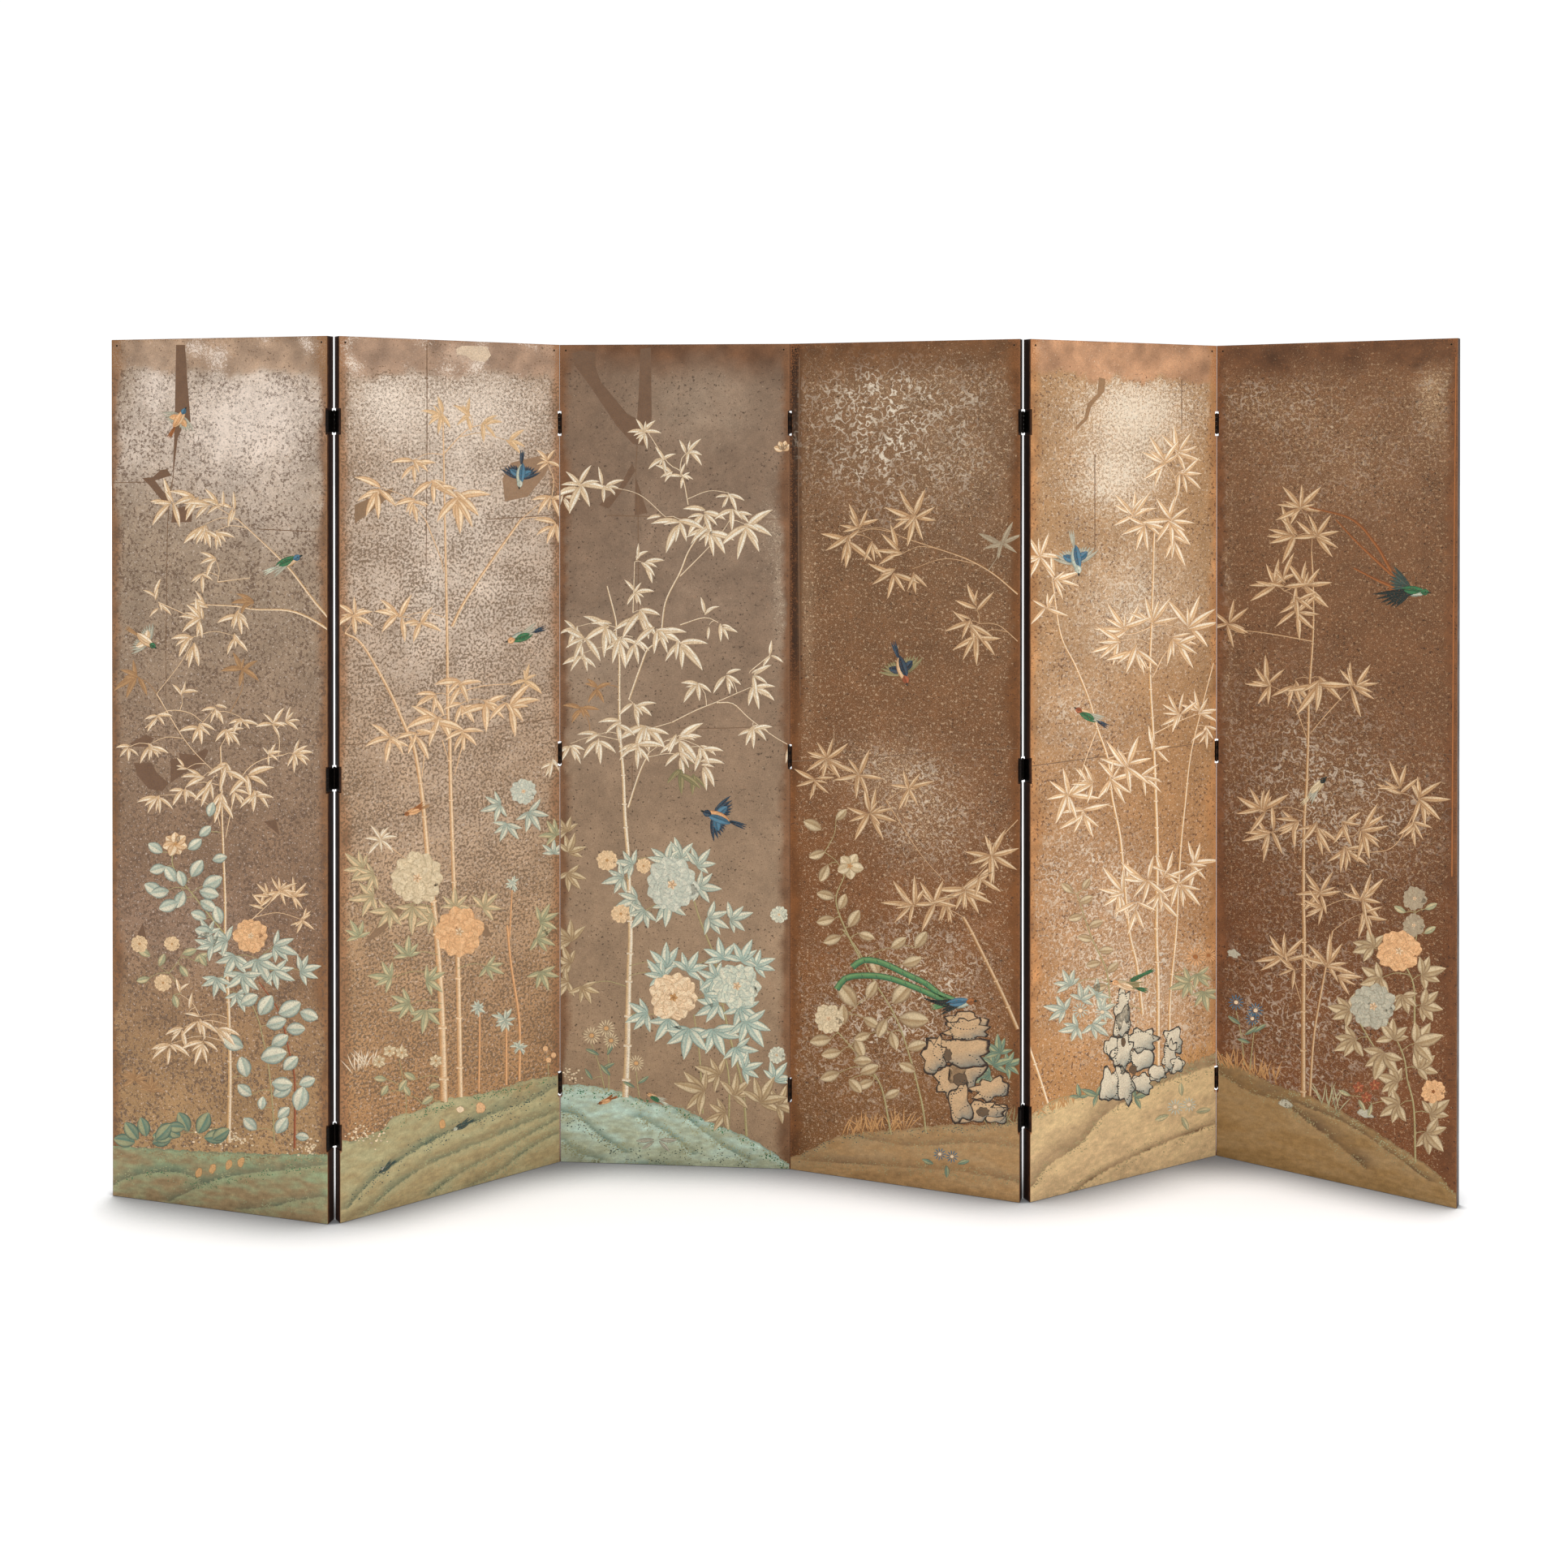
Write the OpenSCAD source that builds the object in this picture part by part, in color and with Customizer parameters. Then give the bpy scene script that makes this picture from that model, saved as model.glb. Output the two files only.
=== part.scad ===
// Folding screen of six painted panels, in millimetres.
// The painted faces look toward -Y, +X runs to the right along the row and +Z is up from the floor.
// The origin is on the floor, under the middle of the whole screen as it stands.

/* [Panel] */
// Height of every panel
panel_h = 2134; // [1500:1:2400]
// Width of every panel
panel_w = 600; // [350:1:900]

/* [Layers, from front to back] */
// Thickness of the painted paper
paper_t = 0.6; // [0.3:0.1:1.5]
// Margin of bare board left below and above the paper
paper_margin = 1; // [1:0.5:20]
// Thickness of the face board
board_t = 4; // [3:0.5:8]
// Thickness of the wooden frame
frame_t = 22; // [18:1:40]
// Thickness of the back board
back_t = 2; // [2:0.5:4]

/* [Frame] */
// Width of the stiles
stile_w = 42; // [36:1:70]
// Height of the top and bottom rails
end_rail_h = 60; // [40:1:120]
// Height of the middle rails
mid_rail_h = 42; // [30:1:80]
// Number of middle rails
mid_rails = 2; // [1:1:3]
// Length of the tenon at each end of a rail
tenon_l = 20; // [12:1:22]
// Thickness of the tenons
tenon_t = 8; // [5:1:12]
// Shoulder above and below each tenon
tenon_shoulder = 8; // [4:1:12]

/* [Folds] */
// Direction of the first panel, from the left end
first_heading = -15.2; // [-60:0.1:60]
// Turn at joint 1-2: positive comes toward the viewer, negative goes back
turn_12 = 52; // [-90:0.5:90]
// Turn at joint 2-3
turn_23 = -41; // [-90:0.5:90]
// Turn at joint 3-4
turn_34 = -15; // [-90:0.5:90]
// Turn at joint 4-5
turn_45 = 47.5; // [-90:0.5:90]
// Turn at joint 5-6
turn_56 = -60; // [-90:0.5:90]

/* [Hinges] */
// Gap between the edges of two panels that stand in line
edge_gap = 2; // [1.9:0.1:4]
// How far the front pins stand proud of the faces
front_proud = 0.5; // [0.3:0.1:2]
// How far the back pins stand proud of the backs
back_proud = 2; // [0.5:0.1:3]
// Height of a hinge
hinge_h = 52; // [40:1:80]
// Distance from a panel's end to the middle of its outer hinges
hinge_inset = 205; // [120:1:320]
// Knuckles on a barrel, an odd number
knuckles = 5; // [5:2:7]
// Running gap between two knuckles
knuckle_gap = 0.25; // [0.15:0.05:0.5]
// Diameter of a barrel
barrel_d = 7; // [6.5:0.1:8]
// Diameter of a pin
pin_d = 3; // [2.5:0.1:3.5]
// Radial clearance of a pin in its bore
pin_clear = 0.05; // [0.02:0.01:0.1]
// Thickness of a pin's head
pin_head_h = 1.5; // [1:0.1:2]
// How far a pin's head stands out over its bore
pin_head_lip = 0.9; // [0.5:0.1:1.2]
// Chamfer round a pin's head
pin_chamfer = 0.3; // [0.1:0.1:0.6]
// Thickness of a leaf
leaf_t = 2; // [1.5:0.1:3]
// Length of a leaf's plate from its pin
leaf_l = 24; // [22:0.5:25]
// Thickness of a link plate
link_t = 1.5; // [1:0.1:1.6]
// Clearance round a knuckle that turns past a plate
knuckle_clear = 0.3; // [0.2:0.05:0.5]

/* [Notches] */
// Room above and below each hinge
notch_room = 6; // [4:0.5:12]
// How far a barrel notch runs into a panel from its edge
notch_w = 4.5; // [4.5:0.1:8]

/* [Screws and nails] */
// Diameter of a screw's shank
screw_d = 3.2; // [2.5:0.1:4]
// Diameter of a screw's head
screw_head_d = 6; // [5:0.1:7]
// Height of a screw's countersunk head
screw_head_h = 1.4; // [1:0.1:1.5]
// Width of the slot in a screw's head
slot_w = 0.8; // [0.5:0.1:1]
// Depth of the slot in a screw's head
slot_h = 0.6; // [0.4:0.1:0.8]
// Length of a screw
screw_l = 16; // [12:1:18]
// Distance from a hinge's middle to its outer screws
screw_pitch = 17; // [14:0.5:18]
// Sideways step of the middle screw
screw_step = 5; // [0:0.5:5]
// Diameter of a nail
nail_d = 1.8; // [1.2:0.1:2.4]
// Diameter of a nail's head
nail_head_d = 4.6; // [3.5:0.1:6]
// Thickness of a nail's head
nail_head_h = 0.8; // [0.6:0.1:1]
// Length of a nail
nail_l = 12; // [9:0.5:12]
// Distance of the face nails from a panel's edges
nail_inset = 15; // [10:0.5:16]
// Number of nails down each side of the back board
back_nails = 6; // [4:2:10]
// Clearance round a screw or nail in its hole
hole_clear = 0.05; // [0.02:0.01:0.1]

/* [Hidden] */
$fn = 48;
NAMES = ["left_stile", "right_stile", "rails", "face_board", "painting", "back_board",
         "hinge_leaves", "fixings"];
PANELS = [0 : 5];
JOINTS = [0 : 4];

wood = "saddlebrown";
face = "rosybrown";
paper = "tan";
metal = "dimgray";
nail_metal = "darkslategray";

turns = [turn_12, turn_23, turn_34, turn_45, turn_56];
last = len(turns);

// Where each layer begins, counted back from the painted face
board_y = paper_t;
frame_y = board_y + board_t;
back_y = frame_y + frame_t;
panel_t = back_y + back_t;

// The pins, seen from the front left corner of the panel on their left
front_pin = [panel_w + edge_gap / 2, -front_proud];
back_pin = [panel_w + edge_gap / 2, panel_t + back_proud];
next_corner = [panel_w + edge_gap, 0];
pin_gap = back_pin.y - front_pin.y;

barrel_r = barrel_d / 2;
bore_r = pin_d / 2 + pin_clear;
pin_head_r = bore_r + pin_head_lip;
knuckle_h = (hinge_h - (knuckles - 1) * knuckle_gap) / knuckles;
leaf_knuckles = [1 : 2 : knuckles - 2];
link_knuckles = [0 : 2 : knuckles - 1];
hinge_z = [hinge_inset, panel_h / 2, panel_h - hinge_inset];
notch_h = hinge_h + 2 * notch_room;
screw_y = (leaf_l - 2 * screw_head_d) / 2 + screw_head_d / 2 + barrel_r / 2;
screw_spots = [[screw_y, -screw_pitch], [screw_y + screw_step, 0], [screw_y, screw_pitch]];
over = 1;

// A point turned about the origin
function turned(p, a) = [p.x * cos(a) - p.y * sin(a), p.x * sin(a) + p.y * cos(a)];

// A link's place: its front pin, and its heading. A valley opens at the front pin.
function link_place(i) =
    let (left = panel_place(i), pin = turned(front_pin, left.z))
    [left.x + pin.x, left.y + pin.y, left.z + min(turns[i], 0)];

// A panel's place: its front left corner, and its heading. A ridge opens at the back pin.
function panel_place(i) =
    i == 0 ? [0, 0, first_heading] :
    let (
        link = link_place(i - 1),
        heading = link.z + max(turns[i - 1], 0),
        pin = turned([0, pin_gap], link.z),
        corner = turned(next_corner - back_pin, heading)
    )
    [link.x + pin.x + corner.x, link.y + pin.y + corner.y, heading];

// Corners of the panels and reach of the barrels, which set the middle of the screen
panel_corners = [for (i = PANELS) for (c = [[0, 0], [panel_w, 0], [0, panel_t], [panel_w, panel_t]])
    let (p = panel_place(i), q = turned(c, p.z)) [p.x + q.x, p.y + q.y]];
pin_spots = [for (i = JOINTS) for (y = [0, pin_gap])
    let (p = link_place(i), q = turned([0, y], p.z)) [p.x + q.x, p.y + q.y]];
xs = concat([for (c = panel_corners) c.x], [for (c = pin_spots) for (r = [-barrel_r, barrel_r]) c.x + r]);
ys = concat([for (c = panel_corners) c.y], [for (c = pin_spots) for (r = [-barrel_r, barrel_r]) c.y + r]);
middle = [(min(xs) + max(xs)) / 2, (min(ys) + max(ys)) / 2];

// Prints each panel's corner and each joint's two pins in the screen's own frame
for (i = PANELS)
    echo(str("panel ", i + 1), corner = panel_place(i) - [middle.x, middle.y, 0]);
for (i = JOINTS)
    echo(str("joint ", i + 1, i + 2), front = pin_spots[2 * i] - middle, back = pin_spots[2 * i + 1] - middle);

// Places its children in a panel's own frame: x along the face, y to the back
module at_panel(i) {
    place = panel_place(i);
    translate([place.x - middle.x, place.y - middle.y, 0]) rotate([0, 0, place.z]) children();
}

// Places its children in a link's own frame, with the front pin on the Z axis
module at_link(i) {
    place = link_place(i);
    translate([place.x - middle.x, place.y - middle.y, 0]) rotate([0, 0, place.z]) children();
}

// The space cut out of a panel's hinged edges at each hinge, to a given depth from the edge
module edge_cuts(i, depth) {
    for (z = hinge_z) {
        if (i > 0)
            translate([-over, -over, z - notch_h / 2]) cube([depth + over, panel_t + 2 * over, notch_h]);
        if (i < last)
            translate([panel_w - depth, -over, z - notch_h / 2])
                cube([depth + over, panel_t + 2 * over, notch_h]);
    }
}

// A countersunk screw that points along +Y from the surface of its head
module screw(clear = 0) {
    rotate([-90, 0, 0]) {
        cylinder(h = screw_l + clear, r = screw_d / 2 + clear);
        cylinder(h = screw_head_h, r1 = screw_head_d / 2 + clear, r2 = screw_d / 2 + clear);
    }
}

// The same screw with the slot of its head
module slotted_screw() {
    difference() {
        screw();
        translate([-screw_head_d, -over, -slot_w / 2]) cube([2 * screw_head_d, over + slot_h, slot_w]);
    }
}

// A flat-headed nail that points along +Y from the surface of its head
module nail(clear = 0) {
    rotate([-90, 0, 0]) {
        cylinder(h = nail_l + clear, r = nail_d / 2 + clear);
        cylinder(h = nail_head_h, r = nail_head_d / 2 + clear);
    }
}

// Puts its children at each leaf screw of a panel, pointing into the stile
module at_leaf_screws(i) {
    for (z = hinge_z) for (spot = screw_spots) {
        if (i > 0)
            translate([0, panel_t + back_proud - spot.x, z + spot.y]) rotate([0, 0, -90]) children();
        if (i < last)
            translate([panel_w, spot.x - front_proud, z + spot.y]) rotate([0, 0, 90]) children();
    }
}

// Puts its children at each nail in the corners of the painted face
module at_face_nails() {
    for (x = [nail_inset, panel_w - nail_inset]) for (z = [nail_inset, panel_h - nail_inset])
        translate([x, 0, z]) children();
}

// Puts its children at each nail of the back board, pointing toward the face
module at_back_nails() {
    low = end_rail_h + nail_inset;
    step = (panel_h - 2 * low) / (back_nails - 1);
    for (x = [stile_w / 2, panel_w - stile_w / 2]) for (k = [0 : back_nails - 1])
        translate([x, panel_t, low + k * step]) rotate([0, 0, 180]) children();
}

// Middle heights and heights of the rails, from the floor up
rail_spans = concat(
    [[0, end_rail_h]],
    [for (k = [1 : mid_rails]) [k * panel_h / (mid_rails + 1) - mid_rail_h / 2, mid_rail_h]],
    [[panel_h - end_rail_h, end_rail_h]]
);

// The tenon at a rail's left end, or the mortise that it fills
module tenon(span) {
    translate([stile_w - tenon_l, frame_y + (frame_t - tenon_t) / 2, span.x + tenon_shoulder])
        cube([tenon_l, tenon_t, span.y - 2 * tenon_shoulder]);
}

// The tenon at a rail's right end
module right_tenon(span) {
    translate([panel_w - 2 * stile_w + tenon_l, 0, 0]) tenon(span);
}

module left_stile(i) {
    color(wood) at_panel(i) difference() {
        translate([0, frame_y, 0]) cube([stile_w, frame_t, panel_h]);
        for (span = rail_spans) tenon(span);
        edge_cuts(i, leaf_t);
        at_leaf_screws(i) screw(hole_clear);
        at_face_nails() nail(hole_clear);
        at_back_nails() nail(hole_clear);
    }
}

module right_stile(i) {
    color(wood) at_panel(i) difference() {
        translate([panel_w - stile_w, frame_y, 0]) cube([stile_w, frame_t, panel_h]);
        for (span = rail_spans) right_tenon(span);
        edge_cuts(i, leaf_t);
        at_leaf_screws(i) screw(hole_clear);
        at_face_nails() nail(hole_clear);
        at_back_nails() nail(hole_clear);
    }
}

module rails(i) {
    color(wood) at_panel(i) for (span = rail_spans) {
        translate([stile_w, frame_y, span.x]) cube([panel_w - 2 * stile_w, frame_t, span.y]);
        tenon(span);
        right_tenon(span);
    }
}

module face_board(i) {
    color(face) at_panel(i) difference() {
        translate([0, board_y, 0]) cube([panel_w, board_t, panel_h]);
        edge_cuts(i, notch_w);
        at_face_nails() nail(hole_clear);
    }
}

module painting(i) {
    color(paper) at_panel(i) difference() {
        translate([0, 0, paper_margin]) cube([panel_w, paper_t, panel_h - 2 * paper_margin]);
        edge_cuts(i, notch_w);
        at_face_nails() nail(hole_clear);
    }
}

module back_board(i) {
    color(face) at_panel(i) difference() {
        translate([0, back_y, 0]) cube([panel_w, back_t, panel_h]);
        edge_cuts(i, notch_w);
        at_back_nails() nail(hole_clear);
    }
}

// One knuckle of a barrel on the Z axis, wider and longer by a clearance where it is cut away
module knuckle(k, clear = 0) {
    translate([0, 0, k * (knuckle_h + knuckle_gap) - hinge_h / 2 - (clear > 0 ? knuckle_gap : 0)])
        cylinder(h = knuckle_h + (clear > 0 ? 2 * knuckle_gap : 0), r = barrel_r + clear);
}

// A pin's bore on the Z axis
module bore() {
    translate([0, 0, -hinge_h / 2 - over]) cylinder(h = hinge_h + 2 * over, r = bore_r);
}

// A leaf, with its pin on the Z axis and its plate to the left of the gap
module leaf() {
    difference() {
        union() {
            difference() {
                translate([-edge_gap / 2 - leaf_t, 0, -hinge_h / 2]) cube([leaf_t, leaf_l, hinge_h]);
                for (k = link_knuckles) knuckle(k, knuckle_clear);
            }
            for (k = leaf_knuckles) knuckle(k);
        }
        bore();
        for (spot = screw_spots)
            translate([-edge_gap / 2, spot.x, spot.y]) rotate([0, 0, 90]) screw(hole_clear);
    }
}

module hinge_leaves(i) {
    color(metal) at_panel(i) for (z = hinge_z) {
        if (i > 0)
            translate([-edge_gap / 2, panel_t + back_proud, z]) rotate([0, 0, 180]) leaf();
        if (i < last)
            translate([front_pin.x, front_pin.y, z]) leaf();
    }
}

module fixings(i) {
    color(nail_metal) at_panel(i) {
        at_leaf_screws(i) slotted_screw();
        at_face_nails() nail();
        at_back_nails() nail();
    }
}

// A link plate in the gap, with the outer knuckles of both barrels
module link() {
    difference() {
        union() {
            difference() {
                translate([-link_t / 2, 0, -hinge_h / 2]) cube([link_t, pin_gap, hinge_h]);
                for (y = [0, pin_gap]) for (k = leaf_knuckles)
                    translate([0, y, 0]) knuckle(k, knuckle_clear);
            }
            for (y = [0, pin_gap]) for (k = link_knuckles) translate([0, y, 0]) knuckle(k);
        }
        for (y = [0, pin_gap]) translate([0, y, 0]) bore();
    }
}

module links(i) {
    color(metal) at_link(i) for (z = hinge_z) translate([0, 0, z]) link();
}

// A headed pin on the Z axis
module pin() {
    translate([0, 0, -hinge_h / 2 - pin_head_h]) {
        cylinder(h = hinge_h + 2 * pin_head_h, r = pin_d / 2);
        cylinder(h = pin_head_h, r1 = pin_head_r - pin_chamfer, r2 = pin_head_r);
    }
    translate([0, 0, hinge_h / 2]) cylinder(h = pin_head_h, r1 = pin_head_r, r2 = pin_head_r - pin_chamfer);
}

module pins(i) {
    color(metal) at_link(i) for (z = hinge_z) for (y = [0, pin_gap]) translate([0, y, z]) pin();
}

for (i = PANELS) {
    left_stile(i);
    right_stile(i);
    rails(i);
    face_board(i);
    painting(i);
    back_board(i);
    hinge_leaves(i);
    fixings(i);
}
for (i = JOINTS) {
    links(i);
    pins(i);
}
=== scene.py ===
"""Folding screen of six painted panels: the finish of its wood, metal and silvered paper, the painting
on its faces, and the light and camera. Lengths are in metres. Places on the painting are given as the
photograph shows them, in its pixels, and are carried from there to the panel's face. Long lists of places
stand in plain tables: numbers parted by spaces, rows by commas and separate paths by semicolons."""
import math
import random

import bpy
from mathutils import Euler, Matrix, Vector, noise


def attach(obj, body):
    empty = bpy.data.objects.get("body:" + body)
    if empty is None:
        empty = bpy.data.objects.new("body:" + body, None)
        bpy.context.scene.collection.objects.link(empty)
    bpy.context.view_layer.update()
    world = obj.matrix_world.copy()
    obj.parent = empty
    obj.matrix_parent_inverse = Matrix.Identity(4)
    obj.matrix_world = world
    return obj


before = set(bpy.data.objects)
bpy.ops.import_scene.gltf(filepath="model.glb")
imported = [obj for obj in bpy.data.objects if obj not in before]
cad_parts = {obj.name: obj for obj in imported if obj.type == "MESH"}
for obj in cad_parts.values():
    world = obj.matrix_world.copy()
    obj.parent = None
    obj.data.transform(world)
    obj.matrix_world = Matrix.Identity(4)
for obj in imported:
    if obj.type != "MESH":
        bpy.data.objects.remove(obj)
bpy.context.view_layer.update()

PANELS = range(1, 7)
# Direction of each panel, from its left edge to its right one, in degrees
HEADINGS = (-15.2, 36.8, -4.2, -19.2, 28.3, -31.7)
PANEL_H = 2.134
# Middle heights of the hinges, half the height of a notch, and how far it reaches into the face
HINGES, NOTCH, NOTCH_DEPTH = (0.205, 1.067, 1.929), 0.032, 0.0045
# A nail's head lies between these distances from two edges of the face
NAIL_NEAR, NAIL_FAR = 0.0125, 0.0175

# The camera that took in the whole screen
EYE = Vector((0.0192, -4.3568, 1.8655))
AIM = Euler((math.radians(89.777), 0, math.radians(0.192)))
LENS, SENSOR, IMAGE, HORIZON = 39.651, 36, 1932, 560
FOCAL = LENS / SENSOR * IMAGE
VIEW = AIM.to_matrix()
# A full turn in degrees, and a full turn and a fifth of one in radians
FULL_TURN, CIRCLE, FIFTH = 360, 6.2832, 1.2566


def table(text):
    """Rows of numbers from a plain table; rows that are ready stay as they are."""
    if not isinstance(text, str):
        return text
    return [tuple(float(n) if "." in n else int(n) for n in row.split()) for row in text.split(",")]


def paths(text):
    """The separate tables of a text."""
    return text.split(";")


def clamp(value, low=0.0, high=1.0):
    """The value, kept between low and high."""
    return min(high, max(low, value))


def colour(code, alpha=1.0):
    """Linear colour of a paint code such as d8c09a."""
    parts = [int(code[k:k + 2], 16) / 255 for k in (0, 2, 4)]
    return tuple(c / 12.92 if c <= 0.04045 else ((c + 0.055) / 1.055) ** 2.4 for c in parts) + (alpha,)


def between(a, b, share):
    """The colour that lies share of the way from a to b."""
    return tuple(p + (q - p) * share for p, q in zip(a, b))


def dim(tone, factor):
    """A colour made lighter or darker."""
    return tuple(c * factor for c in tone[:3]) + (1.0,)


def cosine(angle):
    """Cosine of an angle in degrees."""
    return math.cos(math.radians(angle))


def sine(angle):
    """Sine of an angle in degrees."""
    return math.sin(math.radians(angle))


class Panel:
    """The painted face of one panel: where it stands, and how the photograph sees it."""

    def __init__(self, number):
        turn = HEADINGS[number - 1]
        self.number = number
        self.along = Vector((cosine(turn), sine(turn), 0))
        self.back = Vector((-sine(turn), cosine(turn), 0))
        paper = [v.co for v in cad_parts[f"panel_{number}_painting"].data.vertices]
        left = min(p.dot(self.along) for p in paper)
        self.width = max(p.dot(self.along) for p in paper) - left
        self.corner = self.along * left + self.back * min(p.dot(self.back) for p in paper)

    def spot(self, x, y):
        """Metres along and up the face for a point of the photograph."""
        ray = VIEW @ Vector(((x - IMAGE / 2) / FOCAL, (HORIZON - y) / FOCAL, -1))
        reach = self.back.dot(self.corner - EYE) / self.back.dot(ray)
        point = EYE + ray * reach - self.corner
        return point.dot(self.along), point.z

    def seen(self, x, z):
        """The point of the photograph that shows a place on the face."""
        ray = VIEW.transposed() @ (self.place(x, z, 0) - EYE)
        return IMAGE / 2 - FOCAL * ray.x / ray.z, HORIZON + FOCAL * ray.y / ray.z

    def place(self, x, z, proud):
        """The place in the room, proud of the paper by so many metres."""
        return self.corner + self.along * x - self.back * proud + Vector((0, 0, z))

    def notched(self, x, z, room=0.0):
        """Whether a place lies in a hinge's notch, or within room of it."""
        side = (self.number > 1 and x < NOTCH_DEPTH + room
                or self.number < 6 and x > self.width - NOTCH_DEPTH - room)
        return side and any(abs(z - h) < NOTCH + room for h in HINGES)


def put(tree, kind, inputs=None, **settings):
    """Add a shader node, make its settings, and fill or link its inputs."""
    made = tree.nodes.new("ShaderNode" + kind)
    for name, value in settings.items():
        setattr(made, name, value)
    fill(tree, made, inputs or {})
    return made


def fill(tree, made, inputs):
    """Set a node's inputs to plain values, or link them to other nodes' outputs."""
    for name, value in inputs.items():
        if isinstance(value, bpy.types.NodeSocket):
            tree.links.new(value, made.inputs[name])
        else:
            made.inputs[name].default_value = value


def mixed(tree, share, a, b, how="MIX"):
    """Mix two colours, each a value or a socket."""
    return put(tree, "Mix", {0: share, 6: a, 7: b}, data_type="RGBA", blend_type=how).outputs[2]


def sums(tree, how, a, b=0.0):
    """One step of arithmetic."""
    return put(tree, "Math", {0: a, 1: b}, operation=how).outputs[0]


def times(tree, a, b):
    """The product of two values."""
    return sums(tree, "MULTIPLY", a, b)


def ramp(tree, value, low, high, start=0.0, end=1.0):
    """Spread a value between low and high smoothly over start to end."""
    return put(tree, "MapRange", {"Value": value, "From Min": low, "From Max": high,
                                  "To Min": start, "To Max": end}, interpolation_type="SMOOTHSTEP").outputs[0]


def clouds(tree, place, scale, detail, **more):
    """Noise over a place, a value about 0.5."""
    return put(tree, "TexNoise", {"Vector": place, "Scale": scale, "Detail": detail, **more}).outputs["Fac"]


def stretched(tree, place, factors):
    """A place drawn out, so that noise over it runs in streaks."""
    return put(tree, "VectorMath", {0: place, 1: factors}, operation="MULTIPLY").outputs[0]


def grey(tree, value):
    """A colour of three alike parts."""
    return put(tree, "CombineColor", {k: value for k in (0, 1, 2)}).outputs[0]


def effect(name, takes, gives):
    """Start a node group with named inputs and outputs; give it, what it takes and what it gives."""
    tree = bpy.data.node_groups.new(name, "ShaderNodeTree")
    kinds = {"value": "NodeSocketFloat", "colour": "NodeSocketColor", "vector": "NodeSocketVector"}
    for label, (kind, value) in {"Place": ("vector", None), **takes}.items():
        socket = tree.interface.new_socket(label, in_out="INPUT", socket_type=kinds[kind])
        if value is not None:
            socket.default_value = value
    for label, kind in gives.items():
        tree.interface.new_socket(label, in_out="OUTPUT", socket_type=kinds[kind])
    return tree, tree.nodes.new("NodeGroupInput").outputs, tree.nodes.new("NodeGroupOutput").inputs


def flecks_effect():
    """Irregular flecks that cover a share of the surface."""
    tree, takes, gives = effect("flecks", {"Scale": ("value", 200.0), "Cover": ("value", 0.5),
                                           "Softness": ("value", 0.05)}, {"Mask": "value"})
    cloud = clouds(tree, takes["Place"], takes["Scale"], 3.0, Roughness=0.6)
    level = put(tree, "MapRange", {"Value": takes["Cover"], "To Min": 0.8, "To Max": 0.24}).outputs[0]
    low = sums(tree, "SUBTRACT", level, takes["Softness"])
    high = sums(tree, "ADD", level, takes["Softness"])
    tree.links.new(ramp(tree, cloud, low, high), gives["Mask"])
    return tree


def mottle_effect():
    """Uneven tone over a colour, in clouds of a given size."""
    tree, takes, gives = effect("mottle", {"Colour": ("colour", (1, 1, 1, 1)), "Scale": ("value", 20.0),
                                           "Amount": ("value", 0.1)}, {"Colour": "colour", "Cloud": "value"})
    cloud = clouds(tree, takes["Place"], takes["Scale"], 4.0, Roughness=0.62)
    swing = times(tree, sums(tree, "SUBTRACT", cloud, 0.5), times(tree, takes["Amount"], 5.0))
    tint = grey(tree, sums(tree, "ADD", swing, 1.0))
    tree.links.new(mixed(tree, 1.0, takes["Colour"], tint, "MULTIPLY"), gives["Colour"])
    tree.links.new(cloud, gives["Cloud"])
    return tree


def cloth_effect():
    """The faint crossing threads of lined paper, as a height and a tone."""
    tree, takes, gives = effect("cloth_lining", {"Amount": ("value", 0.1)},
                                {"Tone": "colour", "Height": "value"})
    threads = [clouds(tree, stretched(tree, takes["Place"], stretch), 1.0, 1.0)
               for stretch in ((900.0, 90.0, 60.0), (90.0, 900.0, 60.0))]
    weave = sums(tree, "ADD", *threads)
    swing = times(tree, sums(tree, "SUBTRACT", weave, 1.0), takes["Amount"])
    tree.links.new(grey(tree, sums(tree, "ADD", swing, 1.0)), gives["Tone"])
    tree.links.new(weave, gives["Height"])
    return tree


def strings_effect():
    """Thin broken strings that wander over the surface, where silver has flaked off round them."""
    tree, takes, gives = effect("strings", {"Scale": ("value", 90.0), "Width": ("value", 0.02)},
                                {"Mask": "value"})
    cloud = clouds(tree, takes["Place"], takes["Scale"], 1.0, Distortion=0.4)
    off = sums(tree, "ABSOLUTE", sums(tree, "SUBTRACT", cloud, 0.5))
    line = ramp(tree, off, takes["Width"], 0.0)
    broken = clouds(tree, takes["Place"], 95.0, 2.0)
    tree.links.new(times(tree, line, ramp(tree, broken, 0.38, 0.46)), gives["Mask"])
    return tree


def grain_effect():
    """Wood that grows upward: long soft streaks with fine pores."""
    tree, takes, gives = effect("wood_grain", {
        "Dark": ("colour", (0.1, 0.05, 0.03, 1)), "Light": ("colour", (0.2, 0.1, 0.06, 1))},
        {"Colour": "colour", "Height": "value"})
    bands = clouds(tree, stretched(tree, takes["Place"], (60.0, 60.0, 2.5)), 1.0, 5.0, Distortion=0.6)
    pores = clouds(tree, stretched(tree, takes["Place"], (700.0, 700.0, 22.0)), 1.0, 2.0)
    blend = sums(tree, "ADD", ramp(tree, bands, 0.3, 0.7, 0.0, 0.75), ramp(tree, pores, 0.35, 0.7, 0.0, 0.25))
    tree.links.new(mixed(tree, blend, takes["Dark"], takes["Light"]), gives["Colour"])
    tree.links.new(blend, gives["Height"])
    return tree


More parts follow.
